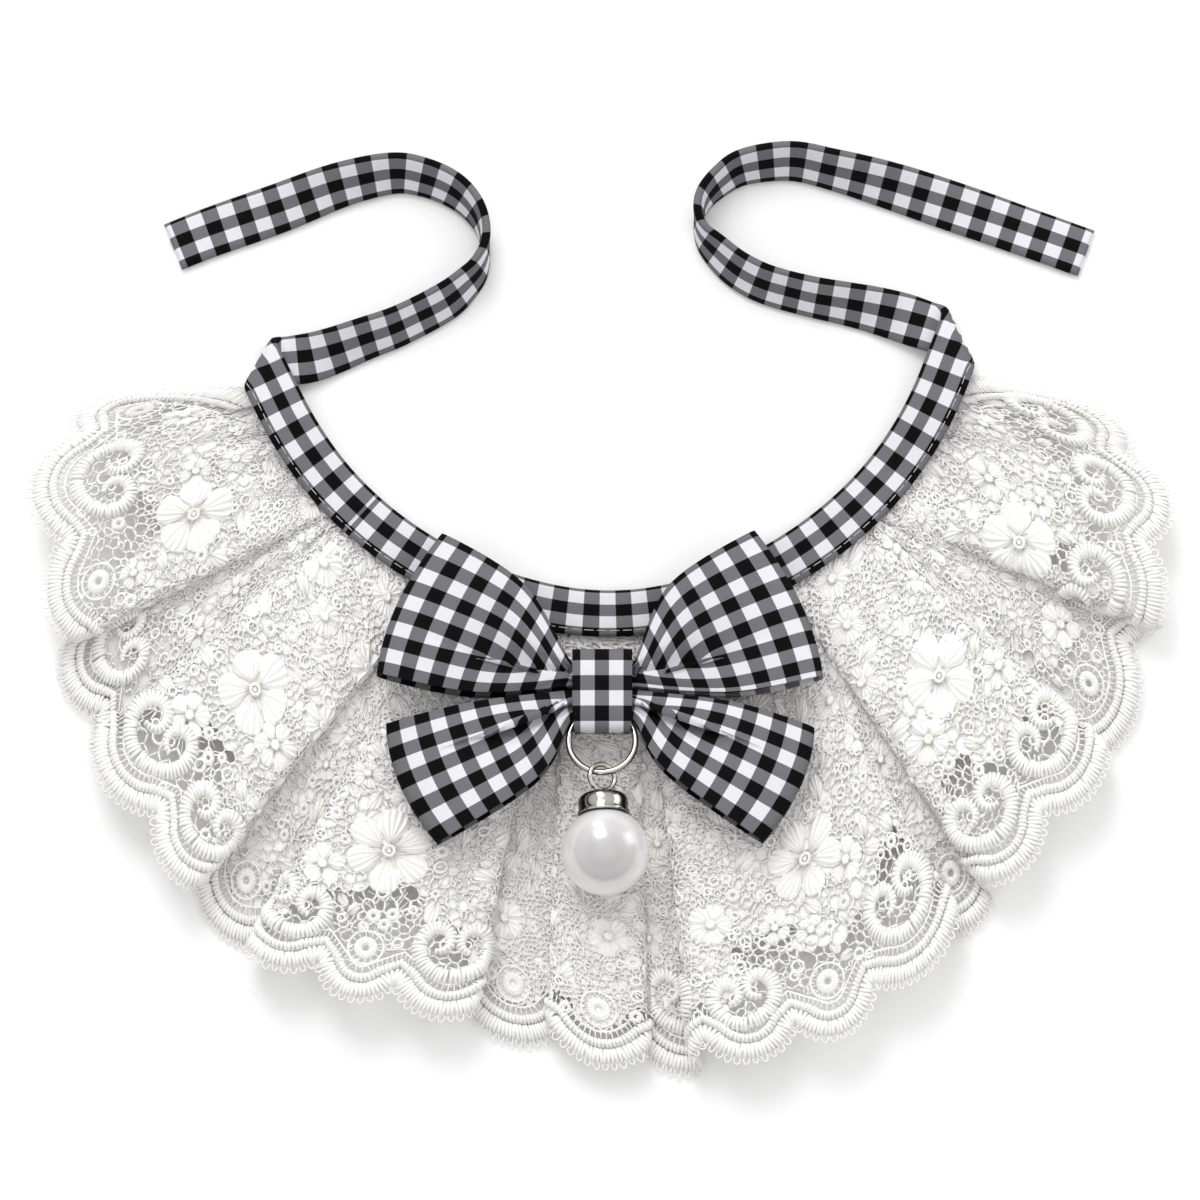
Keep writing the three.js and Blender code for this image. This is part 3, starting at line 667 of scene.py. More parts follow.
def add_flowers(lace, motifs, settings, rng):
    flowers = motifs.parts["flowers"]
    for x, y, length, petals in FLOWERS:
        middle = lace.under(x, y)
        flowers.extend(flower(middle, length, petals, rng.uniform(0, 6), rng))
        motifs.keep_clear(middle, length * 0.88)
    for middle, size in scatter(lace, motifs, rng, settings.small_flowers, 5000, (14, 74),
                                (3.0, 4.4), 0.85):
        flowers.extend(flower(middle, size, int(rng.integers(5, 7)), rng.uniform(0, 6), rng))
    for middle, size in scatter(lace, motifs, rng, settings.leaves, 7000, (12, 78),
                                (3.0, 5.6), 0.42):
        angle = rng.uniform(0, 6.3)
        tail = middle - size / 2 * np.array([math.cos(angle), math.sin(angle)])
        flowers.append(petal(tail, angle, 0.0, size, size * 0.3, 4, 0.6, rounded=0.5))
    for middle, size in scatter(lace, motifs, rng, settings.buttons, 7000, (8, 80),
                                (0.9, 1.5), 0.9):
        flowers.append(button(middle, size, rng.uniform(0, 1)))


def net_knots(points):
    """Scattered points joined in triangles, with the knots of a net at the triangles' middles."""
    found = delaunay_2d_cdt([Vector(p) for p in points], [], [], 0, 1e-7)
    spots = np.array([tuple(p) for p in found[0]])
    triangles = np.array(found[2])
    return spots, triangles, spots[triangles].mean(1)


def net_lines(spots, triangles, knots):
    """The threads between the cells round the points, as pairs of ends."""
    sides = np.sort(np.concatenate([triangles[:, [0, 1]], triangles[:, [1, 2]],
                                    triangles[:, [2, 0]]]), axis=1)
    owner = np.tile(np.arange(len(triangles)), 3)
    key = sides[:, 0].astype(np.int64) * len(spots) + sides[:, 1]
    order = np.argsort(key, kind="stable")
    key, owner = key[order], owner[order]
    shared = np.flatnonzero(key[1:] == key[:-1])
    return np.stack([knots[owner[shared]], knots[owner[shared + 1]]], 1)


def net_webs(spots, triangles, knots, chosen, height):
    """The cells round the chosen points, filled by a web of threads too fine to draw singly."""
    point, owner = triangles.ravel(), np.repeat(np.arange(len(triangles)), 3)
    point, owner = point[chosen[point]], owner[chosen[point]]
    arm = knots[owner] - spots[point]
    order = np.lexsort((np.arctan2(arm[:, 1], arm[:, 0]), point))
    used, corner = np.unique(owner[order], return_inverse=True)
    starts = np.flatnonzero(np.diff(point[order], prepend=-1))
    counts = np.diff(np.append(starts, len(order)))
    faces = [corner[starts[counts == n][:, None] + np.arange(n)] for n in range(3, 12)]
    return knots[used], np.full(len(used), height), faces


def cell_size(lace, points, settings):
    """Net cells: open over the folds' middles, fine near the neckband and behind the bow."""
    open_cell, fine = settings.open_cell / MM, settings.fine_cell / MM
    s, t = lace.along_and_in(points)
    patches = 0.5 + 0.5 * np.sin(s / 5.3 + 2 * np.sin(t / 7)) * np.sin(t / 6.1 + 1.3)
    coarse = fine + (open_cell - fine) * (0.35 + 0.65 * patches)
    placed = lace.place(points, np.zeros(len(points)))
    middle = smooth_step((np.abs(placed[:, 0]) - 18) / 12)
    near_neck = 1 - smooth_step((t - 34) / 26)
    level = smooth_step((lace.facing_up(points) - 0.45) / 0.4)
    return fine + (coarse - fine) * middle * near_neck * level


def net_points(lace, settings, rng):
    """Scattered middles for the net's cells, closer together where the net is finer."""
    fine = settings.fine_cell / MM
    across = np.arange(-FLAT_RADIUS, FLAT_RADIUS, fine)
    up = np.arange(-FLAT_RADIUS, FLAT_RADIUS, fine * 0.866)
    grid = np.stack(np.meshgrid(across, up), -1)
    grid[1::2, :, 0] += fine / 2
    points = grid.reshape(-1, 2)
    points = points + rng.uniform(-0.48, 0.48, points.shape) * fine
    s, t = lace.along_and_in(points)
    points = points[(t > 1) & (t < DEEPEST - 2) & (s > 1) & (s < lace.length - 1)]
    cell = cell_size(lace, points, settings)
    return points[rng.uniform(0, 1, len(points)) < (fine / cell) ** 2]


def loose_threads(lace, inside_border, settings, rng):
    """Short, fine, curved threads that cross the open cells in all directions."""
    count = settings.fine_threads
    at = lace.flat(rng.uniform(3, lace.length - 3, count), rng.uniform(4, 62, count))
    turn = rng.uniform(0, np.pi, (count, 1))
    half_length = rng.uniform(1.2, 1.2 + np.pi / 2, (count, 1))
    ahead = np.concatenate([np.cos(turn), np.sin(turn)], 1)
    bend = rng.normal(0, 0.12, (count, 1, 1)) * half_length[:, None]
    shares = np.array([-1, -0.35, 0.35, 1])[:, None]
    paths = (at[:, None] + (ahead * half_length)[:, None] * shares
             + left_of(ahead)[:, None] * bend * (1 - shares**2))
    kept = inside_border(at, 0.2)
    kept &= cell_size(lace, at, settings) > settings.fine_cell / MM * 1.15
    kept &= inside_border(paths[:, 0], -0.2) & inside_border(paths[:, -1], -0.2)
    paths = paths[kept]
    half = rng.uniform(0.1, 0.16, (len(paths), 1))
    lift = rng.uniform(-0.1, 0.15, (len(paths), 1))
    return threads(paths, half, half, lift, sides=3)


def add_net(lace, motifs, edge, settings, rng):
    """The irregular net of twisted threads, and its finer ground towards the neckband."""
    net, ground = motifs.parts["net"], motifs.parts["ground"]
    tree = kdtree.KDTree(len(edge))
    for i, p in enumerate(edge):
        tree.insert((*p, 0), i)
    tree.balance()
    border = (settings.border_width + settings.cord_width + settings.ladder) / MM

    def inside_border(at, margin):
        from_edge = np.array([tree.find((*p, 0))[2] for p in at])
        depth = lace.along_and_in(at)[1]
        return (from_edge > border + margin) & (depth > 3) & ~lace.hidden(at)

    def finely_netted(at):
        return cell_size(lace, at, settings) < settings.fine_cell / MM * 1.3

    spots, triangles, knots = net_knots(net_points(lace, settings, rng))
    along, depth = lace.along_and_in(spots)
    inner = inside_border(spots, 0.7) & (depth < DEEPEST - 3)
    webbed = inner & finely_netted(spots) & (rng.uniform(0, 1, len(spots)) < settings.webbed)
    ground.append(net_webs(spots, triangles, knots, webbed, 0.0))
    # The larger cells are filled too away from the hem, where open ones are left in patches.
    patches = np.sin(along / 6 + 1.5 * np.sin(depth / 8)) * np.sin(depth / 5)
    filled = inner & ~webbed & (smooth_step((depth - 10) / 18) + 0.4 * patches > 0.58)
    net.append(net_webs(spots, triangles, knots, filled, -0.2))

    lines = net_lines(spots, triangles, knots)
    middle = lines.mean(1)
    free = inside_border(middle, -0.3)
    for x, y, r in motifs.taken:
        free &= (middle[:, 0] - x) ** 2 + (middle[:, 1] - y) ** 2 > (r * 0.88) ** 2
    free &= np.linalg.norm(lines[:, 1] - lines[:, 0], axis=1) < 4.5
    lines, middle = lines[free], middle[free]
    lift = 0.25 + rng.uniform(-0.1, 0.2, (len(lines), 1))
    paths = lines + (lines - lines[:, ::-1]) * 0.05
    fine = finely_netted(middle)
    thick = rng.uniform(0, 1, len(lines)) < 0.3
    half = np.where(fine, 0.3, np.where(thick, 0.36, 0.25)) * rng.uniform(0.8, 1.25, len(lines))
    half = half[:, None]
    for part, chosen in ((net, ~fine), (ground, fine)):
        part.append(threads(paths[chosen], half[chosen], half[chosen], lift[chosen], sides=3))
    net.append(loose_threads(lace, inside_border, settings, rng))
    for middle, size in scatter(lace, motifs, rng, settings.rosettes, 9000, (9, 80),
                                (0.7, 1.25), 0.75):
        net.append(ring_of_thread(middle, size, 0.3, 0.3, 0.45, count=8))


# Strap.

class Strap:
    """The folded strip: s along it from the left tie's free end, w across it, h through it."""

    def __init__(self):
        self.shares = np.linspace(0, 1, 2001)
        self.left, self.right = (running_length(along_rows(tie, self.shares)[:, :2])
                                 for tie in (LEFT_TIE, RIGHT_TIE))
        self.arc = math.radians(NECK_TO - NECK_FROM) * NECK_RADIUS
        self.neck_start = self.left[-1] + LEFT_FOLD["run"]
        self.neck_end = self.neck_start + self.arc
        self.right_start = self.neck_end + RIGHT_FOLD["run"]
        self.length = self.right_start + self.right[-1]

    def place(self, flat, height):
        s, w = flat[:, 0], flat[:, 1]
        points = self.neckband(s, w, height)
        on_left, on_right = s < self.left[-1], s > self.right_start
        for tie, lengths, mine, start in ((LEFT_TIE, self.left, on_left, 0),
                                          (RIGHT_TIE, self.right, on_right, self.right_start)):
            share = np.interp(s[mine] - start, lengths, self.shares)
            points[mine] = self.tie(np.array(tie, float), share, w[mine], height[mine])
        return points

    def tie(self, rows, share, w, height):
        x, y, roll, lift = along_rows(rows, share).T
        step = 0.15 / (len(rows) - 1)
        ahead = along_rows(rows, share + step) - along_rows(rows, share - step)
        ahead = unit(ahead[:, :2])
        left = np.column_stack([-ahead[:, 1], ahead[:, 0], np.zeros(len(x))])
        cos, sin = np.cos(np.radians(roll)), np.sin(np.radians(roll))
        up = np.array([0, 0, 1.0])
        wide = left * cos[:, None] + up * sin[:, None]
        thick = -left * sin[:, None] + up * cos[:, None]
        section = np.array(STRAP_SECTION)
        lowest = (section[:, :1] * sin + section[:, 1:] * cos).min(0)
        middle = np.column_stack([x, y, np.maximum(lift, 0) - lowest])
        return middle + wide * w[:, None] + thick * height[:, None]

    def neckband(self, s, w, height):
        """An arc with straight ends, each turned over its slanting fold."""
        on = s - self.neck_start
        angle = np.radians(NECK_FROM) + np.clip(on, 0, self.arc) / NECK_RADIUS
        outward = np.column_stack([np.cos(angle), np.sin(angle)])
        ahead = np.column_stack([-np.sin(angle), np.cos(angle)])
        past = on - np.clip(on, 0, self.arc)
        low = np.exp(-((on - self.arc / 2) / 26) ** 2)
        radius = NECK_RADIUS + 1.3 * low - w * (1 - 0.06 * low)
        flat = NECK_CENTRE + outward * radius[:, None] + ahead * past[:, None]
        rise = smooth_step((np.abs(on - self.arc / 2) - self.arc / 2 + 24) / 22)
        level = NECK_HEIGHT + (FOLD_HEIGHT - NECK_HEIGHT) * rise
        z = level + height
        for fold, side in ((LEFT_FOLD, 1), (RIGHT_FOLD, -1)):
            along = np.array(fold["along"])
            beyond = side * np.array([-along[1], along[0]])
            over = (flat - fold["at"]) @ beyond
            turned = np.clip(over / FOLD_RADIUS, 0, np.pi)
            back = np.maximum(over - np.pi * FOLD_RADIUS, 0)
            folded = (over > 0) & (on < 0 if side > 0 else on > self.arc)
            reach = (FOLD_RADIUS + height) * np.sin(turned) - back
            flat = np.where(folded[:, None], flat + (reach - over)[:, None] * beyond, flat)
            drop = level - FOLD_RADIUS + (FOLD_RADIUS + height) * np.cos(turned)
            z = np.where(folded, drop, z)
        return np.column_stack([flat, z])


def make_strap(settings):
    strap = Strap()
    section = np.array(STRAP_SECTION + STRAP_SECTION[:1])
    corners = np.linspace(0, 1, len(section))
    middle = strap.neck_start + math.radians(269 - NECK_FROM) * NECK_RADIUS

    def shape(u, v):
        w, h = (np.interp(v, corners, section[:, i]) for i in (0, 1))
        s = u * strap.length
        on_tie = 1 - smooth_step((s - strap.neck_start + 8) / 6) * smooth_step(
            (strap.neck_end + 8 - s) / 6)
        h += 0.13 * np.exp(-((w - GROOVE) / 0.16) ** 2) * (h > 0.3) * on_tie
        puff = 0.09 * np.sin(s / 2.7 + np.sin(s / 7)) * (1 - (w / 5) ** 2) * np.sign(h)
        tuck = 0.45 * np.exp(-((s - strap.neck_start - TUCK - w * 0.05) / 0.35) ** 2)
        end = np.minimum(np.minimum(s, strap.length - s) / 0.5, 1) ** 0.5
        return strap.place(np.column_stack([s, w]), (h + puff - tuck * (h > 0.3)) * end)

    def checks(u, v):
        w = np.interp(v, corners, section[:, 0])
        s = u * strap.length
        tucked = (s < strap.neck_start + TUCK) * 0.55
        along = (s - middle) / (settings.check_along / MM) + 1 + tucked
        return np.column_stack([along, (1.75 - w) / (settings.check_across / MM)])

    piece = cloth_from_grid("strap_cloth", 900, len(section) - 1, shape, checks)
    in_edit_mode(piece, lambda: bpy.ops.mesh.select_all(action="DESELECT"),
                 lambda: bpy.ops.mesh.select_non_manifold(extend=False),
                 lambda: bpy.ops.mesh.fill(),
                 lambda: bpy.ops.mesh.select_all(action="SELECT"),
                 lambda: bpy.ops.mesh.normals_make_consistent(inside=False))

    pitch = settings.stitch_pitch / MM
    s = np.arange(strap.neck_start - 6, strap.neck_end + 6, pitch)
    dash = np.array([-0.4, -0.34, 0, 0.34, 0.4]) * pitch
    paths = np.stack([s[:, None] + dash, np.full((len(s), 5), GROOVE)], -1)
    sunk = np.array([0.55, 0.76, 0.84, 0.76, 0.55])
    stitches = mesh_of_threads("strap_topstitch", strap.place,
                               [threads(paths, 0.09, 0.1, sunk, sides=6)])
    return strap, piece, stitches


# Bow.

def make_loop(name, loop, settings):
    """A loop of ribbon cloth, closed at its outer fold and pinched at the knot."""
    sign = math.copysign(1, loop["outer"][3][0])

    def edges(place):
        return along_rows(loop["outer"], place), along_rows(loop["inner"], place)

    def crease_at(place):
        near, far = loop["crease"]
        return near + (far - near) * smooth_step((place - 0.3) * 5)

    def pleated(place, until):
        return smooth_step((until - place) / 0.36)

    def pleat_width(place):
        return 0.035 + 0.035 * place

    def shape(u, v):
        angle = 2 * np.pi * u * sign
        along = np.cos(angle)
        up = np.sign(np.sin(angle)) * np.clip(1 - along**4, 0, 1) ** 0.25
        place = (1 + along) / 2
        top, low = edges(place)
        flat = top + (low - top) * v[:, None]
        bulge = LOOP_BULGE * 4 * v * (1 - v) * place**3
        full = along_rows([[h] for h in loop["halves"]], place)[:, 0]
        risen = along_rows([[h] for h in RISE_SHARES], place)[:, 0]
        end = loop["ends"][0] + (loop["ends"][1] - loop["ends"][0]) * v
        middle = crease_at(place)
        fade = pleated(place, 0.88)
        side = np.where(v < middle, v / middle, (1 - v) / (1 - middle))
        pillow = np.sin(np.pi / 2 * np.clip(side * 1.1, 0, 1)) ** 0.6
        into = (v - middle) / pleat_width(place)
        # The pleat doubles back: the part beside the bow's axis lies over the outer part.
        doubled = 2.1 * pleat_width(place) * into * np.exp(-into**2) * fade * (up > 0)
        flat -= (low - top) * doubled[:, None]
        sink = np.where(into < 0, np.exp(-(into / 4.5) ** 2), 0) * (1 - smooth_step(into + 0.5))
        tucks = sum(np.exp(-((v - middle - d) / 0.045) ** 2) for d in (-0.24, 0.3))
        near_knot = smooth_step((0.6 - place) / 0.26)
        dip = 0.95 * full * sink * fade + 0.5 * tucks * near_knot
        swell = 0.5 * (pillow - 0.6) * fade + 0.35 * np.sin(np.pi * v) * smooth_step(place * 1.5)
        wave = 0.14 * np.sin(place * 9 + v * 5) * np.sin(v * 7 + 1)
        z = loop["knot"] + (end - loop["knot"]) * risen + up * full
        z += np.clip(up, 0, 1) * (swell + wave - dip) - np.clip(-up, 0, 1) * swell * 0.3
        return np.column_stack([flat[:, 0] + sign * bulge, flat[:, 1], z])

    def checks(u, v):
        check = settings.check / MM
        angle = 2 * np.pi * u
        place = (1 + np.cos(angle)) / 2
        top, low = edges(place)
        height = np.linalg.norm(low - top, axis=1)
        end_top, end_low = edges(np.ones_like(place))
        width = np.linalg.norm(end_low - end_top, axis=1)
        # The pleat hides what the loop loses in width, so the checks beside it keep their size.
        swallowed = (width - height) * 0.86 * pleated(place, 0.7)
        into = (v - crease_at(place)) / pleat_width(place)
        across = v * (width - swallowed) + swallowed * smooth_step((into + 0.95) / 1.3)
        run_top = np.linalg.norm(end_top - top, axis=1)
        run_low = np.linalg.norm(end_low - low, axis=1)
        run = run_top + (run_low - run_top) * v
        facing = np.where(np.sin(angle) * sign >= 0, 1, -1)
        return np.column_stack([facing * run / check + loop["checks"][0],
                                across / check + loop["checks"][1]])

    piece = cloth_from_grid(name + "_cloth", 104, 132, shape, checks)
    apply_modifier(piece, "SOLIDIFY", thickness=settings.wall, offset=-1, use_rim=True)
    return piece


def make_knot(settings):
    """The wrap round the pinched middle, with a soft tuck along its front."""
    k = KNOT

    def shape(u, v):
        angle = 2 * np.pi * u
        cos, sin = np.cos(angle), np.sin(angle)
        along = np.sign(cos) * np.abs(cos) ** 0.5 * k["half_length"]
        up = np.sign(sin) * np.abs(sin) ** 0.5 * k["half_height"]
        across = 2 * v - 1
        taper = 1 - k["taper"] * np.maximum(0, -along / k["half_length"]) ** 4
        crown = np.where(up > 0, 0.35 * (1 - across**4) - 0.3, 0)
        tuck = 0.18 * np.exp(-((across - 0.28 + 0.1 * along / 8) / 0.07) ** 2)
        return np.column_stack([k["x"] + across * k["half_width"] * taper, k["y"] + along,
                                k["z"] + up + crown - np.where(up > 0, tuck, 0)])

    def checks(u, v):
        place = shape(u, v)
        across = (place[:, 0] + 4.5) / 2.85 + 1
        down = (-12.3 - place[:, 1]) / 3.05 + 1
        down += np.where(place[:, 2] < k["z"], 0.5, 0)
        return np.column_stack([across, down])

    piece = cloth_from_grid("bow_knot_cloth", 160, 24, shape, checks)
    apply_modifier(piece, "SOLIDIFY", thickness=settings.wall, offset=-1, use_rim=True)
    return piece


# Metal and pearl.

def drop_matrix():
    """From the drop's own axis, +Y up through the pearl, to where it hangs."""
    tilt = Matrix.Rotation(-math.radians(RING["tilt"]), 4, "X")
    foot = tilt @ Vector((0, -RING["radius"], 0)) + Vector(RING["centre"])
    axis = (foot - Vector(PEARL["centre"])).normalized()
    turn = Vector((0, 1, 0)).rotation_difference(axis).to_matrix().to_4x4()
    return Matrix.Translation(Vector(PEARL["centre"]) * MM) @ turn


def settle(piece, matrix):
    """Moves a piece to its place and leaves that place in its mesh."""
    only(piece)
    piece.matrix_world = matrix @ piece.matrix_world
    bpy.ops.object.transform_apply(location=True, rotation=True, scale=True)


def turned_profile(name, profile, segments):
    """A round shape drawn up from a circle, ring by ring, along +Z."""
    deselect()
    radius, height = profile[0]
    bpy.ops.mesh.primitive_circle_add(vertices=segments, radius=radius * MM, fill_type="NGON",
                                      location=(0, 0, height * MM))
    piece = bpy.context.object
    piece.name = piece.data.name = name
    bpy.ops.object.transform_apply(location=True, rotation=True, scale=True)
    bpy.ops.object.mode_set(mode="EDIT")
    bpy.ops.mesh.select_all(action="SELECT")
    for (r0, h0), (r1, h1) in zip(profile[:-1], profile[1:]):
        bpy.ops.mesh.extrude_region_move(
            TRANSFORM_OT_translate={"value": (0, 0, (h1 - h0) * MM)})
        bpy.ops.transform.resize(value=(r1 / r0, r1 / r0, 1), center_override=(0, 0, h1 * MM))
    bpy.ops.mesh.select_all(action="SELECT")
    bpy.ops.mesh.normals_make_consistent(inside=False)
    bpy.ops.object.mode_set(mode="OBJECT")
    return piece


def make_ring():
    deselect()
    bpy.ops.mesh.primitive_torus_add(
        major_segments=112, minor_segments=20, major_radius=RING["radius"] * MM,
        minor_radius=RING["wire"] * MM, location=[c * MM for c in RING["centre"]],
        rotation=(-math.radians(RING["tilt"]), 0, 0))
    ring = bpy.context.object
    ring.name = ring.data.name = "hanging_ring_wire"
    bpy.ops.object.transform_apply(location=True, rotation=True, scale=True)
    return ring


def make_cap():
    """The flared cap with its wire bail, one soldered piece."""
    cap = turned_profile("pendant_cap_metal", CAP_PROFILE, 72)
    settle(cap, Matrix.Rotation(-math.pi / 2, 4, "X"))
    deselect()
    bpy.ops.mesh.primitive_torus_add(major_segments=72, minor_segments=16, major_radius=1,
                                     minor_radius=BAIL["wire"] / BAIL["half_width"])
    bail = bpy.context.object
    bail.scale = [BAIL["half_width"] * MM, BAIL["half_height"] * MM, BAIL["half_width"] * MM]
    turn = Matrix.Rotation(math.radians(BAIL["turn"]), 4, "Y")
    settle(bail, Matrix.Translation((0, BAIL["middle"] * MM, 0)) @ turn)
    only(cap)
    bail.select_set(True)
    bpy.ops.object.join()
    settle(cap, drop_matrix())
    return cap


def make_pearl():
    """The bead, with its drill hole under the cap."""
    deselect()
    bpy.ops.mesh.primitive_uv_sphere_add(segments=96, ring_count=64,
                                         radius=PEARL["radius"] * MM)
    pearl = bpy.context.object
    pearl.name = pearl.data.name = "pearl_bead"
    top = PEARL["radius"] * MM * 0.994
    for face in pearl.data.polygons:
        face.select = face.center.z > top
    for edge in pearl.data.edges:
        edge.select = False
    for vertex in pearl.data.vertices:
        vertex.select = vertex.co.z > top - 1e-5
    only(pearl)
    bpy.ops.object.mode_set(mode="EDIT")
    bpy.ops.mesh.select_mode(type="FACE")
    bpy.ops.mesh.extrude_region_move(TRANSFORM_OT_translate={"value": (0, 0, -3 * MM)})
    bpy.ops.mesh.select_mode(type="VERT")
    bpy.ops.object.mode_set(mode="OBJECT")
    settle(pearl, drop_matrix() @ Matrix.Rotation(-math.pi / 2, 4, "X"))
    return pearl


# Materials.

def add_node(tree, kind, inputs=None, **settings):
    """Adds a node with its settings. An input that is a socket is linked, and a value is set."""
    node = tree.nodes.new(kind)
    for name, value in settings.items():
        setattr(node, name, value)
    for name, value in (inputs or {}).items():
        if isinstance(value, bpy.types.NodeSocket):
            tree.links.new(value, node.inputs[name])
        else:
            node.inputs[name].default_value = value
    return node


def new_material(name):
    material = bpy.data.materials.new(name)
    material.use_nodes = True
    material.node_tree.nodes.clear()
    return material, material.node_tree


def close_material(tree, shader):
    add_node(tree, "ShaderNodeOutputMaterial", {"Surface": shader.outputs[0]})


def gingham_cotton(settings):
    """Yarn-dyed plain-woven cotton: crisp checks, matt, with a fine salt-and-pepper grey."""
    material, tree = new_material("gingham_cotton_plain_woven")
    uv = add_node(tree, "ShaderNodeUVMap").outputs[0]
    split = add_node(tree, "ShaderNodeSeparateXYZ", {0: uv})

    def math_node(operation, a, b=0.0, c=0.0, clamp=False):
        return add_node(tree, "ShaderNodeMath", {0: a, 1: b, 2: c}, operation=operation,
                        use_clamp=clamp).outputs[0]

    wobble = add_node(tree, "ShaderNodeTexNoise", {"Vector": uv, "Scale": 7.0, "Detail": 2.0})
    shift = math_node("MULTIPLY_ADD", wobble.outputs["Fac"], 0.05, -0.025)

    def stripes(coordinate):
        moved = math_node("ADD", coordinate, shift)
        wave = math_node("SINE", math_node("MULTIPLY", moved, math.pi))
        return math_node("MULTIPLY_ADD", wave, 9.0, 0.5, clamp=True)

    along, across = stripes(split.outputs[0]), stripes(split.outputs[1])
    white, grey, black = ((*c, 1) for c in (settings.white, settings.grey, settings.black))

    def mix(fac, a, b, blend="MIX"):
        return add_node(tree, "ShaderNodeMix", {0: fac, 6: a, 7: b}, data_type="RGBA",
                        blend_type=blend).outputs[2]

    checks = mix(across, mix(along, white, grey), mix(along, grey, black))

    # About eight threads to a check, drawn half as many as the real 40 to a centimetre.
    def yarn(coordinate):
        return math_node("SINE", math_node("MULTIPLY", coordinate, math.pi * 2 * 8))

    weave = math_node("MULTIPLY", yarn(split.outputs[0]), yarn(split.outputs[1]))
    slub = add_node(tree, "ShaderNodeTexNoise", {"Vector": uv, "Scale": 30.0, "Detail": 3.0})
    tone = math_node("MULTIPLY_ADD", weave, 0.2,
                     math_node("MULTIPLY_ADD", slub.outputs["Fac"], 0.5, 0.75))
    tint = add_node(tree, "ShaderNodeCombineColor", {0: tone, 1: tone, 2: tone}).outputs[0]
    colour = mix(1.0, checks, tint, "MULTIPLY")
    relief = math_node("MULTIPLY_ADD", weave, 0.5, slub.outputs["Fac"])
    bump = add_node(tree, "ShaderNodeBump", {"Strength": 0.35, "Distance": 0.00012,
                                             "Height": relief})
    shader = add_node(tree, "ShaderNodeBsdfPrincipled", {
        "Base Color": colour, "Roughness": 0.85, "Normal": bump.outputs[0], "IOR": 1.46,
        "Specular IOR Level": 0.1})
    close_material(tree, shader)
    return material


def lace_cotton(settings):
    """Mercerised cotton embroidery thread: white, softly lustrous, with a fine twist."""
    material, tree = new_material("guipure_lace_cotton_thread")
    place = add_node(tree, "ShaderNodeTexCoord").outputs["Object"]
    fibres = add_node(tree, "ShaderNodeTexNoise", {"Vector": place, "Scale": 2600.0,
                                                   "Detail": 2.0, "Roughness": 0.6})
    shade = add_node(tree, "ShaderNodeTexNoise", {"Vector": place, "Scale": 90.0})
    fac = add_node(tree, "ShaderNodeMapRange", {0: shade.outputs["Fac"], 1: 0.35, 2: 0.7})
    colour = add_node(tree, "ShaderNodeMix", {0: fac.outputs[0], 6: (*settings.thread, 1),
                                              7: (*settings.thread_warm, 1)}, data_type="RGBA")
    bump = add_node(tree, "ShaderNodeBump", {"Strength": 0.3, "Distance": 0.0001,
                                             "Height": fibres.outputs["Fac"]})
    shader = add_node(tree, "ShaderNodeBsdfPrincipled", {
        "Base Color": colour.outputs[2], "Roughness": 0.62, "Normal": bump.outputs[0],
        "IOR": 1.5, "Specular IOR Level": 0.4, "Sheen Weight": 0.1})
    close_material(tree, shader)
    return material


def stitch_thread():
    """Spun polyester sewing thread, pale grey."""
    material, tree = new_material("topstitch_polyester_thread")
    place = add_node(tree, "ShaderNodeTexCoord").outputs["Object"]
    twist = add_node(tree, "ShaderNodeTexNoise", {"Vector": place, "Scale": 4000.0})
    bump = add_node(tree, "ShaderNodeBump", {"Strength": 0.3, "Distance": 0.00005,
                                             "Height": twist.outputs["Fac"]})
    shader = add_node(tree, "ShaderNodeBsdfPrincipled", {
        "Base Color": (*linear("#c4c4c8"), 1), "Roughness": 0.6, "Normal": bump.outputs[0]})
    close_material(tree, shader)
    return material


def polished_nickel(settings):
    """Nickel-plated alloy, polished: bright, with faint buffing marks."""
    material, tree = new_material("polished_nickel_plate")
    place = add_node(tree, "ShaderNodeTexCoord").outputs["Object"]
    marks = add_node(tree, "ShaderNodeTexNoise", {"Vector": place, "Scale": 700.0,
                                                  "Detail": 4.0})
    rough = add_node(tree, "ShaderNodeMapRange", {0: marks.outputs["Fac"], 3: 0.05, 4: 0.16})
    # Painted reflection: the base colour turns dark where the surface turns away, a painted dark
    # reflection of the room by the floor.
    slant = add_node(tree, "ShaderNodeLayerWeight", {"Blend": 0.5}).outputs["Facing"]
    turned = add_node(tree, "ShaderNodeMapRange", {0: slant, 1: 0.15, 2: 0.6})
    edge = add_node(tree, "ShaderNodeMix", {
        0: turned.outputs[0], 6: (*settings.nickel, 1), 7: (*settings.nickel_painted_dark_reflection, 1)},
        data_type="RGBA")
    shader = add_node(tree, "ShaderNodeBsdfPrincipled", {
        "Base Color": edge.outputs[2], "Metallic": 1.0, "Roughness": rough.outputs[0]})
    close_material(tree, shader)
    return material


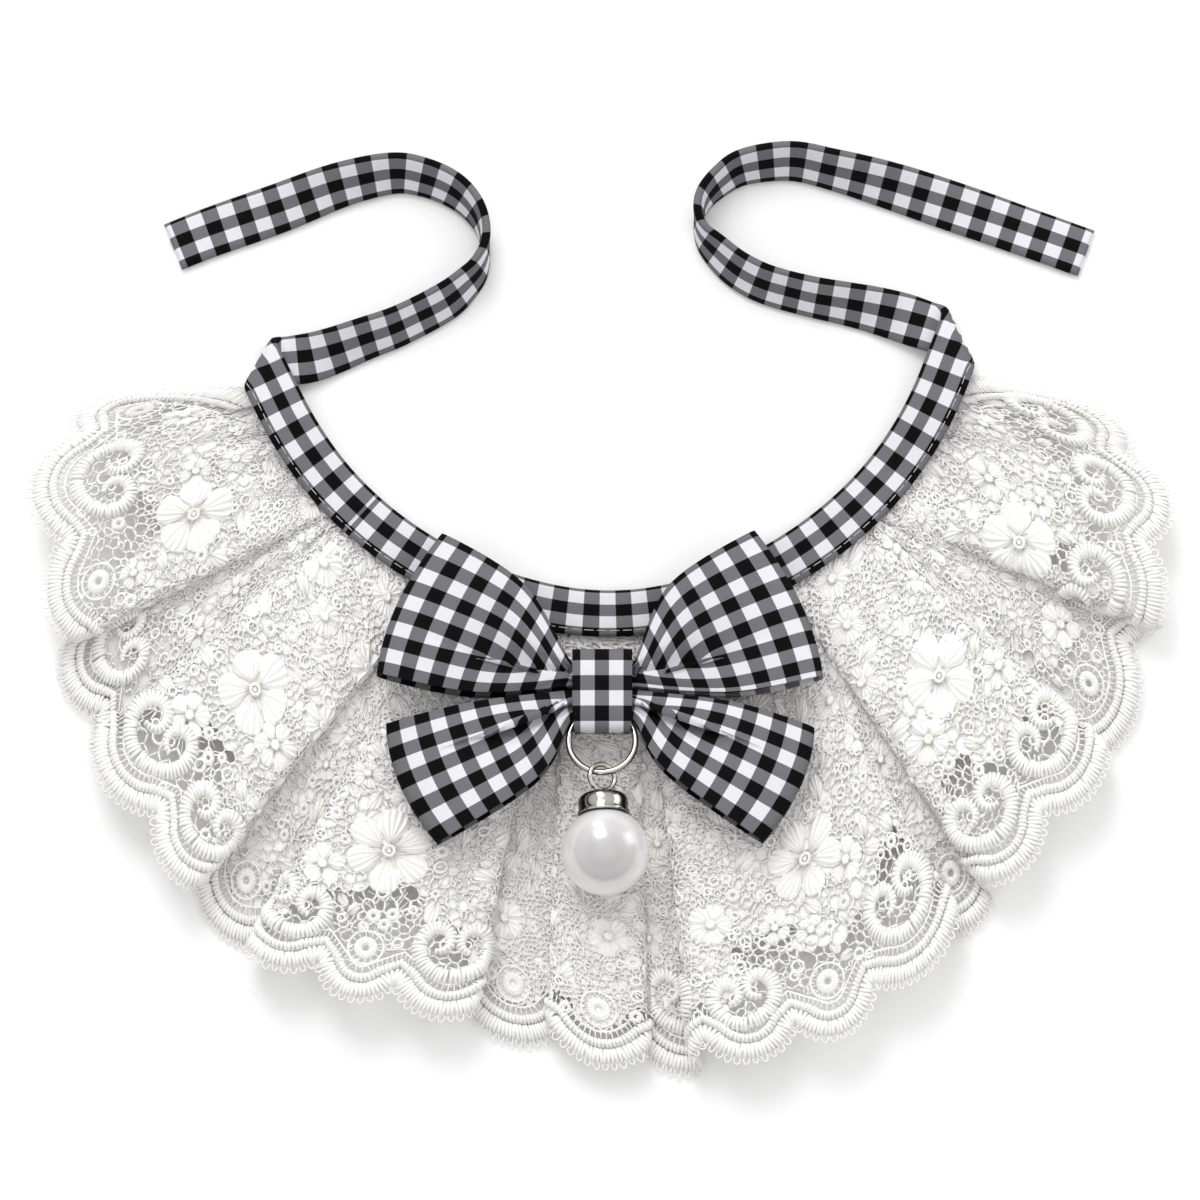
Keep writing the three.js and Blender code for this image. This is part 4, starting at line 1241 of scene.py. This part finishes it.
def pearl_lacquer(settings):
    """Imitation pearl: pigmented lacquer on a bead, a silky body under a clear glossy coat, with a
    painted reflection in its body colour.
    """
    material, tree = new_material("pearl_lacquer_on_bead")
    # Painted reflection: the body colour is grey where the pearl faces the camera and pale towards
    # its rim.
    weight = add_node(tree, "ShaderNodeLayerWeight", {"Blend": 0.5})
    turned = add_node(tree, "ShaderNodeMapRange", {0: weight.outputs["Facing"], 1: 0.05, 2: 0.5})
    body = add_node(tree, "ShaderNodeMix", {
        0: turned.outputs[0], 6: (*settings.pearl, 1), 7: (*settings.pearl_rim_painted_reflection, 1)},
        data_type="RGBA")
    place = add_node(tree, "ShaderNodeTexCoord").outputs["Object"]
    grain = add_node(tree, "ShaderNodeTexNoise", {"Vector": place, "Scale": 500.0})
    rough = add_node(tree, "ShaderNodeMapRange", {0: grain.outputs["Fac"], 3: 0.26, 4: 0.34})
    shader = add_node(tree, "ShaderNodeBsdfPrincipled", {
        "Base Color": body.outputs[2], "Roughness": rough.outputs[0], "IOR": 1.5,
        "Specular IOR Level": 0.7, "Metallic": 0.12, "Coat Weight": 1.0,
        "Coat Roughness": 0.16, "Sheen Weight": 0.2})
    close_material(tree, shader)
    return material


def studio_paper():
    """Matt white paper under the collar."""
    material, tree = new_material("studio_paper_white")
    shader = add_node(tree, "ShaderNodeBsdfPrincipled", {
        "Base Color": (*linear("#fdfdfd"), 1), "Roughness": 0.95, "Specular IOR Level": 0.1})
    close_material(tree, shader)
    return material


# Stage.

def light_room(scene, strength):
    """The soft light of the room, from all round and above."""
    world = bpy.data.worlds.new("soft_room")
    world.use_nodes = True
    scene.world = world
    tree = world.node_tree
    tree.nodes.clear()
    # The room is brightest overhead, which lights the floor through the lace, and dark at
    # the horizon, which draws dark lines along the polished metal.
    way = add_node(tree, "ShaderNodeTexCoord").outputs["Generated"]
    height = add_node(tree, "ShaderNodeSeparateXYZ", {0: way}).outputs["Z"]
    room = add_node(tree, "ShaderNodeValToRGB", {0: height})
    ramp = room.color_ramp
    for place, grey in ((0.0, 0.02), (0.16, 0.04), (0.3, 0.6), (0.8, 0.75), (0.92, 1.0)):
        stop = ramp.elements.new(place)
        stop.color = (grey, grey, grey, 1)
    ramp.elements.remove(ramp.elements[0])
    ramp.elements[-1].color = (1, 1, 1, 1)
    background = add_node(tree, "ShaderNodeBackground", {
        "Color": room.outputs[0], "Strength": strength})
    add_node(tree, "ShaderNodeOutputWorld", {"Surface": background.outputs[0]})


def hang_lamps(scene, power):
    """The square lamps: each one's place, side, and power as a share of the key's."""
    for name, place, size, share in (
        ("key", (-0.4, 1.3, 1.5), 0.9, 1),
        ("window", (-0.4, 1.5, 0.5), 0.6, 0.24),
        ("side", (1.1, 0.55, 0.35), 0.6, 0.17),
    ):
        lamp = bpy.data.lights.new(name, "AREA")
        lamp.shape, lamp.size, lamp.energy = "SQUARE", size, power * share
        light = bpy.data.objects.new(name, lamp)
        scene.collection.objects.link(light)
        light.location = place
        light.rotation_euler = (-Vector(place)).to_track_quat("-Z", "Y").to_euler()


def place_camera(scene, angle):
    """A long lens that looks down at the collar at an angle above the floor."""
    lens = bpy.data.cameras.new("camera")
    lens.lens, lens.sensor_width = 300, 36
    camera = bpy.data.objects.new("camera", lens)
    scene.collection.objects.link(camera)
    middle, field = Vector((-0.6, 2.0, 0)) * MM, 240 * MM
    back = Vector((0, -math.cos(angle), math.sin(angle)))
    camera.location = middle + back * (field * lens.lens / lens.sensor_width)
    camera.rotation_euler = (-back).to_track_quat("-Z", "Y").to_euler()
    lens.clip_start, lens.clip_end = 0.01, 20
    scene.camera = camera


# Settings.

def length_property(name, description, default):
    return bpy.props.FloatProperty(name=name, description=description, default=default,
                                   min=0, unit="LENGTH", precision=5)


def colour_property(name, description, default):
    return bpy.props.FloatVectorProperty(name=name, description=description, size=3, min=0,
                                         max=1, subtype="COLOR", default=linear(default))


class GinghamSettings(bpy.types.PropertyGroup):
    check_along: length_property("Check along", "Length of a check along the strap", 0.0032)
    check_across: length_property("Check across", "Width of a check across the strap", 0.0025)
    check: length_property("Bow check", "Side of a check on the bow", 0.00303)
    wall: length_property("Cloth", "Thickness of the bow's doubled cloth", 0.0009)
    stitch_pitch: length_property("Stitch pitch", "Length of one topstitch", 0.0024)
    white: colour_property("White", "White yarn", "#e4e3e8")
    grey: colour_property("Grey", "Crossing of white and black yarn", "#717176")
    black: colour_property("Black", "Black yarn", "#0b0b0d")


class LaceSettings(bpy.types.PropertyGroup):
    scallop_depth: length_property("Scallop depth", "Depth of a scallop", 0.0053)
    border_width: length_property("Border", "Width of the satin border", 0.0033)
    cord_width: length_property("Cord", "Width of the raised cord along the border", 0.0019)
    ladder: length_property("Ladder", "Length of the bars inside the cord", 0.0014)
    satin_pitch: length_property("Satin pitch", "Spacing of the satin stitches", 0.00074)
    picot_pitch: length_property("Picot pitch", "Spacing of the picot loops", 0.0018)
    open_cell: length_property("Open cell", "Net cell near the hem", 0.0022)
    fine_cell: length_property("Fine cell", "Net cell near the neckband", 0.00118)
    small_flowers: bpy.props.IntProperty(name="Small flowers", default=60, min=0,
                                         description="Small flowers scattered on the net")
    leaves: bpy.props.IntProperty(name="Leaves", default=220, min=0,
                                  description="Satin leaves scattered on the net")
    buttons: bpy.props.IntProperty(name="Buttons", default=220, min=0,
                                   description="Small domed rosettes scattered on the net")
    rosettes: bpy.props.IntProperty(name="Rings", default=260, min=0,
                                    description="Small rings tied into the net")
    fine_threads: bpy.props.IntProperty(name="Fine threads", default=2600, min=0,
                                        description="Loose threads across the open cells")
    webbed: bpy.props.FloatProperty(name="Webbed", default=1.0, min=0, max=1,
                                    description="Share of the fine cells filled by a web")
    softness: length_property("Softness", "How far a fold's edge is rounded", 0.0008)
    thread: colour_property("Thread", "Lace thread", "#f8f7f6")
    thread_warm: colour_property("Shaded thread", "Warmer thread patches", "#f6f4f1")


class DropSettings(bpy.types.PropertyGroup):
    nickel: colour_property("Nickel", "Polished nickel", "#c4c1bc")
    # Painted reflection: the dark colour mixed into the nickel where it turns away from the
    # camera.
    nickel_painted_dark_reflection: colour_property("Nickel edge", "Nickel seen at a slant", "#4c4947")
    # Painted reflection: the pearl's colour face on, greyed as a painted reflection, and its pale
    # rim colour, a painted reflection too.
    pearl: colour_property("Pearl", "Pearl seen face on", "#c0bcbd")
    pearl_rim_painted_reflection: colour_property("Pearl rim", "Pearl seen at a slant", "#f4f3f2")


class StageSettings(bpy.types.PropertyGroup):
    key: bpy.props.FloatProperty(name="Key", description="Power of the key light", default=15.0,
                                 min=0, unit="POWER")
    fill: bpy.props.FloatProperty(name="Fill", description="Strength of the room's light",
                                  default=1.12, min=0)
    camera_height: bpy.props.FloatProperty(
        name="Camera height", description="Angle of the camera above the floor",
        default=math.radians(80), subtype="ANGLE")


class CollarSettings(bpy.types.PropertyGroup):
    gingham: bpy.props.PointerProperty(type=GinghamSettings)
    lace: bpy.props.PointerProperty(type=LaceSettings)
    drop: bpy.props.PointerProperty(type=DropSettings)
    stage: bpy.props.PointerProperty(type=StageSettings)


# Operators.

def gingham_material(context):
    return (bpy.data.materials.get("gingham_cotton_plain_woven")
            or gingham_cotton(context.scene.bib_collar.gingham))


class COLLAR_OT_strap(bpy.types.Operator):
    """Make the gingham neckband with both ties, and its topstitching"""

    bl_idname = "collar.strap"
    bl_label = "Strap"

    def execute(self, context):
        settings = context.scene.bib_collar.gingham
        strap, cloth, stitches = make_strap(settings)
        finish_piece(cloth, gingham_material(context), "gingham_cotton", "neck_strap", angle=50)
        finish_piece(stitches, stitch_thread(), "gingham_cotton")
        return {"FINISHED"}


class COLLAR_OT_lace(bpy.types.Operator):
    """Make the gathered lace ruffle: border, scrolls, flowers and net"""

    bl_idname = "collar.lace"
    bl_label = "Lace ruffle"

    def execute(self, context):
        settings = context.scene.bib_collar.lace
        rng = np.random.default_rng(27)
        lace = Lace(settings.softness / MM)
        motifs = Motifs()
        edge = scallop_edge(lace, settings)
        add_border(motifs, edge, settings, rng)
        add_scrolls(lace, motifs, settings, rng)
        add_flowers(lace, motifs, settings, rng)
        add_net(lace, motifs, edge, settings, rng)
        material = lace_cotton(settings)
        pieces = {}
        for part, groups in motifs.parts.items():
            piece = mesh_of_threads("lace_" + part, lace.place, groups)
            pieces[part] = finish_piece(piece, material, "guipure_lace", "lace_ruffle",
                                        angle=35 if part == "flowers" else None)
        ground = pieces.pop("ground")
        return {"FINISHED"}


class COLLAR_OT_bow(bpy.types.Operator):
    """Make the four loops of the bow and the knot that wraps its middle"""

    bl_idname = "collar.bow"
    bl_label = "Bow"

    def execute(self, context):
        settings = context.scene.bib_collar.gingham
        material = gingham_material(context)
        for name, loop in BOW_LOOPS.items():
            piece = make_loop(name, loop, settings)
            finish_piece(piece, material, "gingham_cotton", name, angle=60)
        knot = finish_piece(make_knot(settings), material, "gingham_cotton", "bow_knot", angle=60)
        return {"FINISHED"}


class COLLAR_OT_drop(bpy.types.Operator):
    """Make the hanging ring, the pendant cap with its bail, and the pearl"""

    bl_idname = "collar.drop"
    bl_label = "Pearl drop"

    def execute(self, context):
        settings = context.scene.bib_collar.drop
        nickel = polished_nickel(settings)
        finish_piece(make_ring(), nickel, "nickel", "hanging_ring")
        finish_piece(make_cap(), nickel, "nickel", "pendant_cap", angle=55)
        finish_piece(make_pearl(), pearl_lacquer(settings), "pearl_lacquer", "pearl", angle=40)
        return {"FINISHED"}


class COLLAR_OT_stage(bpy.types.Operator):
    """Make the floor, the soft lights and the camera"""

    bl_idname = "collar.stage"
    bl_label = "Stage"

    def execute(self, context):
        settings = context.scene.bib_collar.stage
        scene = context.scene
        deselect()
        bpy.ops.mesh.primitive_plane_add(size=8)
        floor = bpy.context.object
        floor.name = "floor"
        floor.data.materials.append(studio_paper())

        light_room(scene, settings.fill)
        hang_lamps(scene, settings.key)
        place_camera(scene, settings.camera_height)
        scene.view_settings.view_transform = "Standard"
        return {"FINISHED"}


class COLLAR_PT_pieces(bpy.types.Panel):
    """The collar's pieces, in the order that they are made"""

    bl_label = "Bib collar"
    bl_idname = "COLLAR_PT_pieces"
    bl_space_type = "VIEW_3D"
    bl_region_type = "UI"
    bl_category = "Bib collar"

    def draw(self, context):
        for operator in OPERATORS:
            self.layout.operator(operator.bl_idname)
        settings = context.scene.bib_collar
        for group in (settings.gingham, settings.lace, settings.drop, settings.stage):
            box = self.layout.box()
            for name in group.__annotations__:
                box.prop(group, name)


OPERATORS = (COLLAR_OT_stage, COLLAR_OT_strap, COLLAR_OT_lace, COLLAR_OT_bow, COLLAR_OT_drop)
CLASSES = (GinghamSettings, LaceSettings, DropSettings, StageSettings, CollarSettings,
           *OPERATORS, COLLAR_PT_pieces)


def register():
    for each in CLASSES:
        bpy.utils.register_class(each)
    bpy.types.Scene.bib_collar = bpy.props.PointerProperty(type=CollarSettings)


def unregister():
    del bpy.types.Scene.bib_collar
    for each in reversed(CLASSES):
        bpy.utils.unregister_class(each)


def main():
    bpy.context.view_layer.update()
    register()
    bpy.ops.collar.stage()
    bpy.ops.collar.strap()
    bpy.ops.collar.lace()
    bpy.ops.collar.bow()
    bpy.ops.collar.drop()


if __name__ == "__main__":
    main()
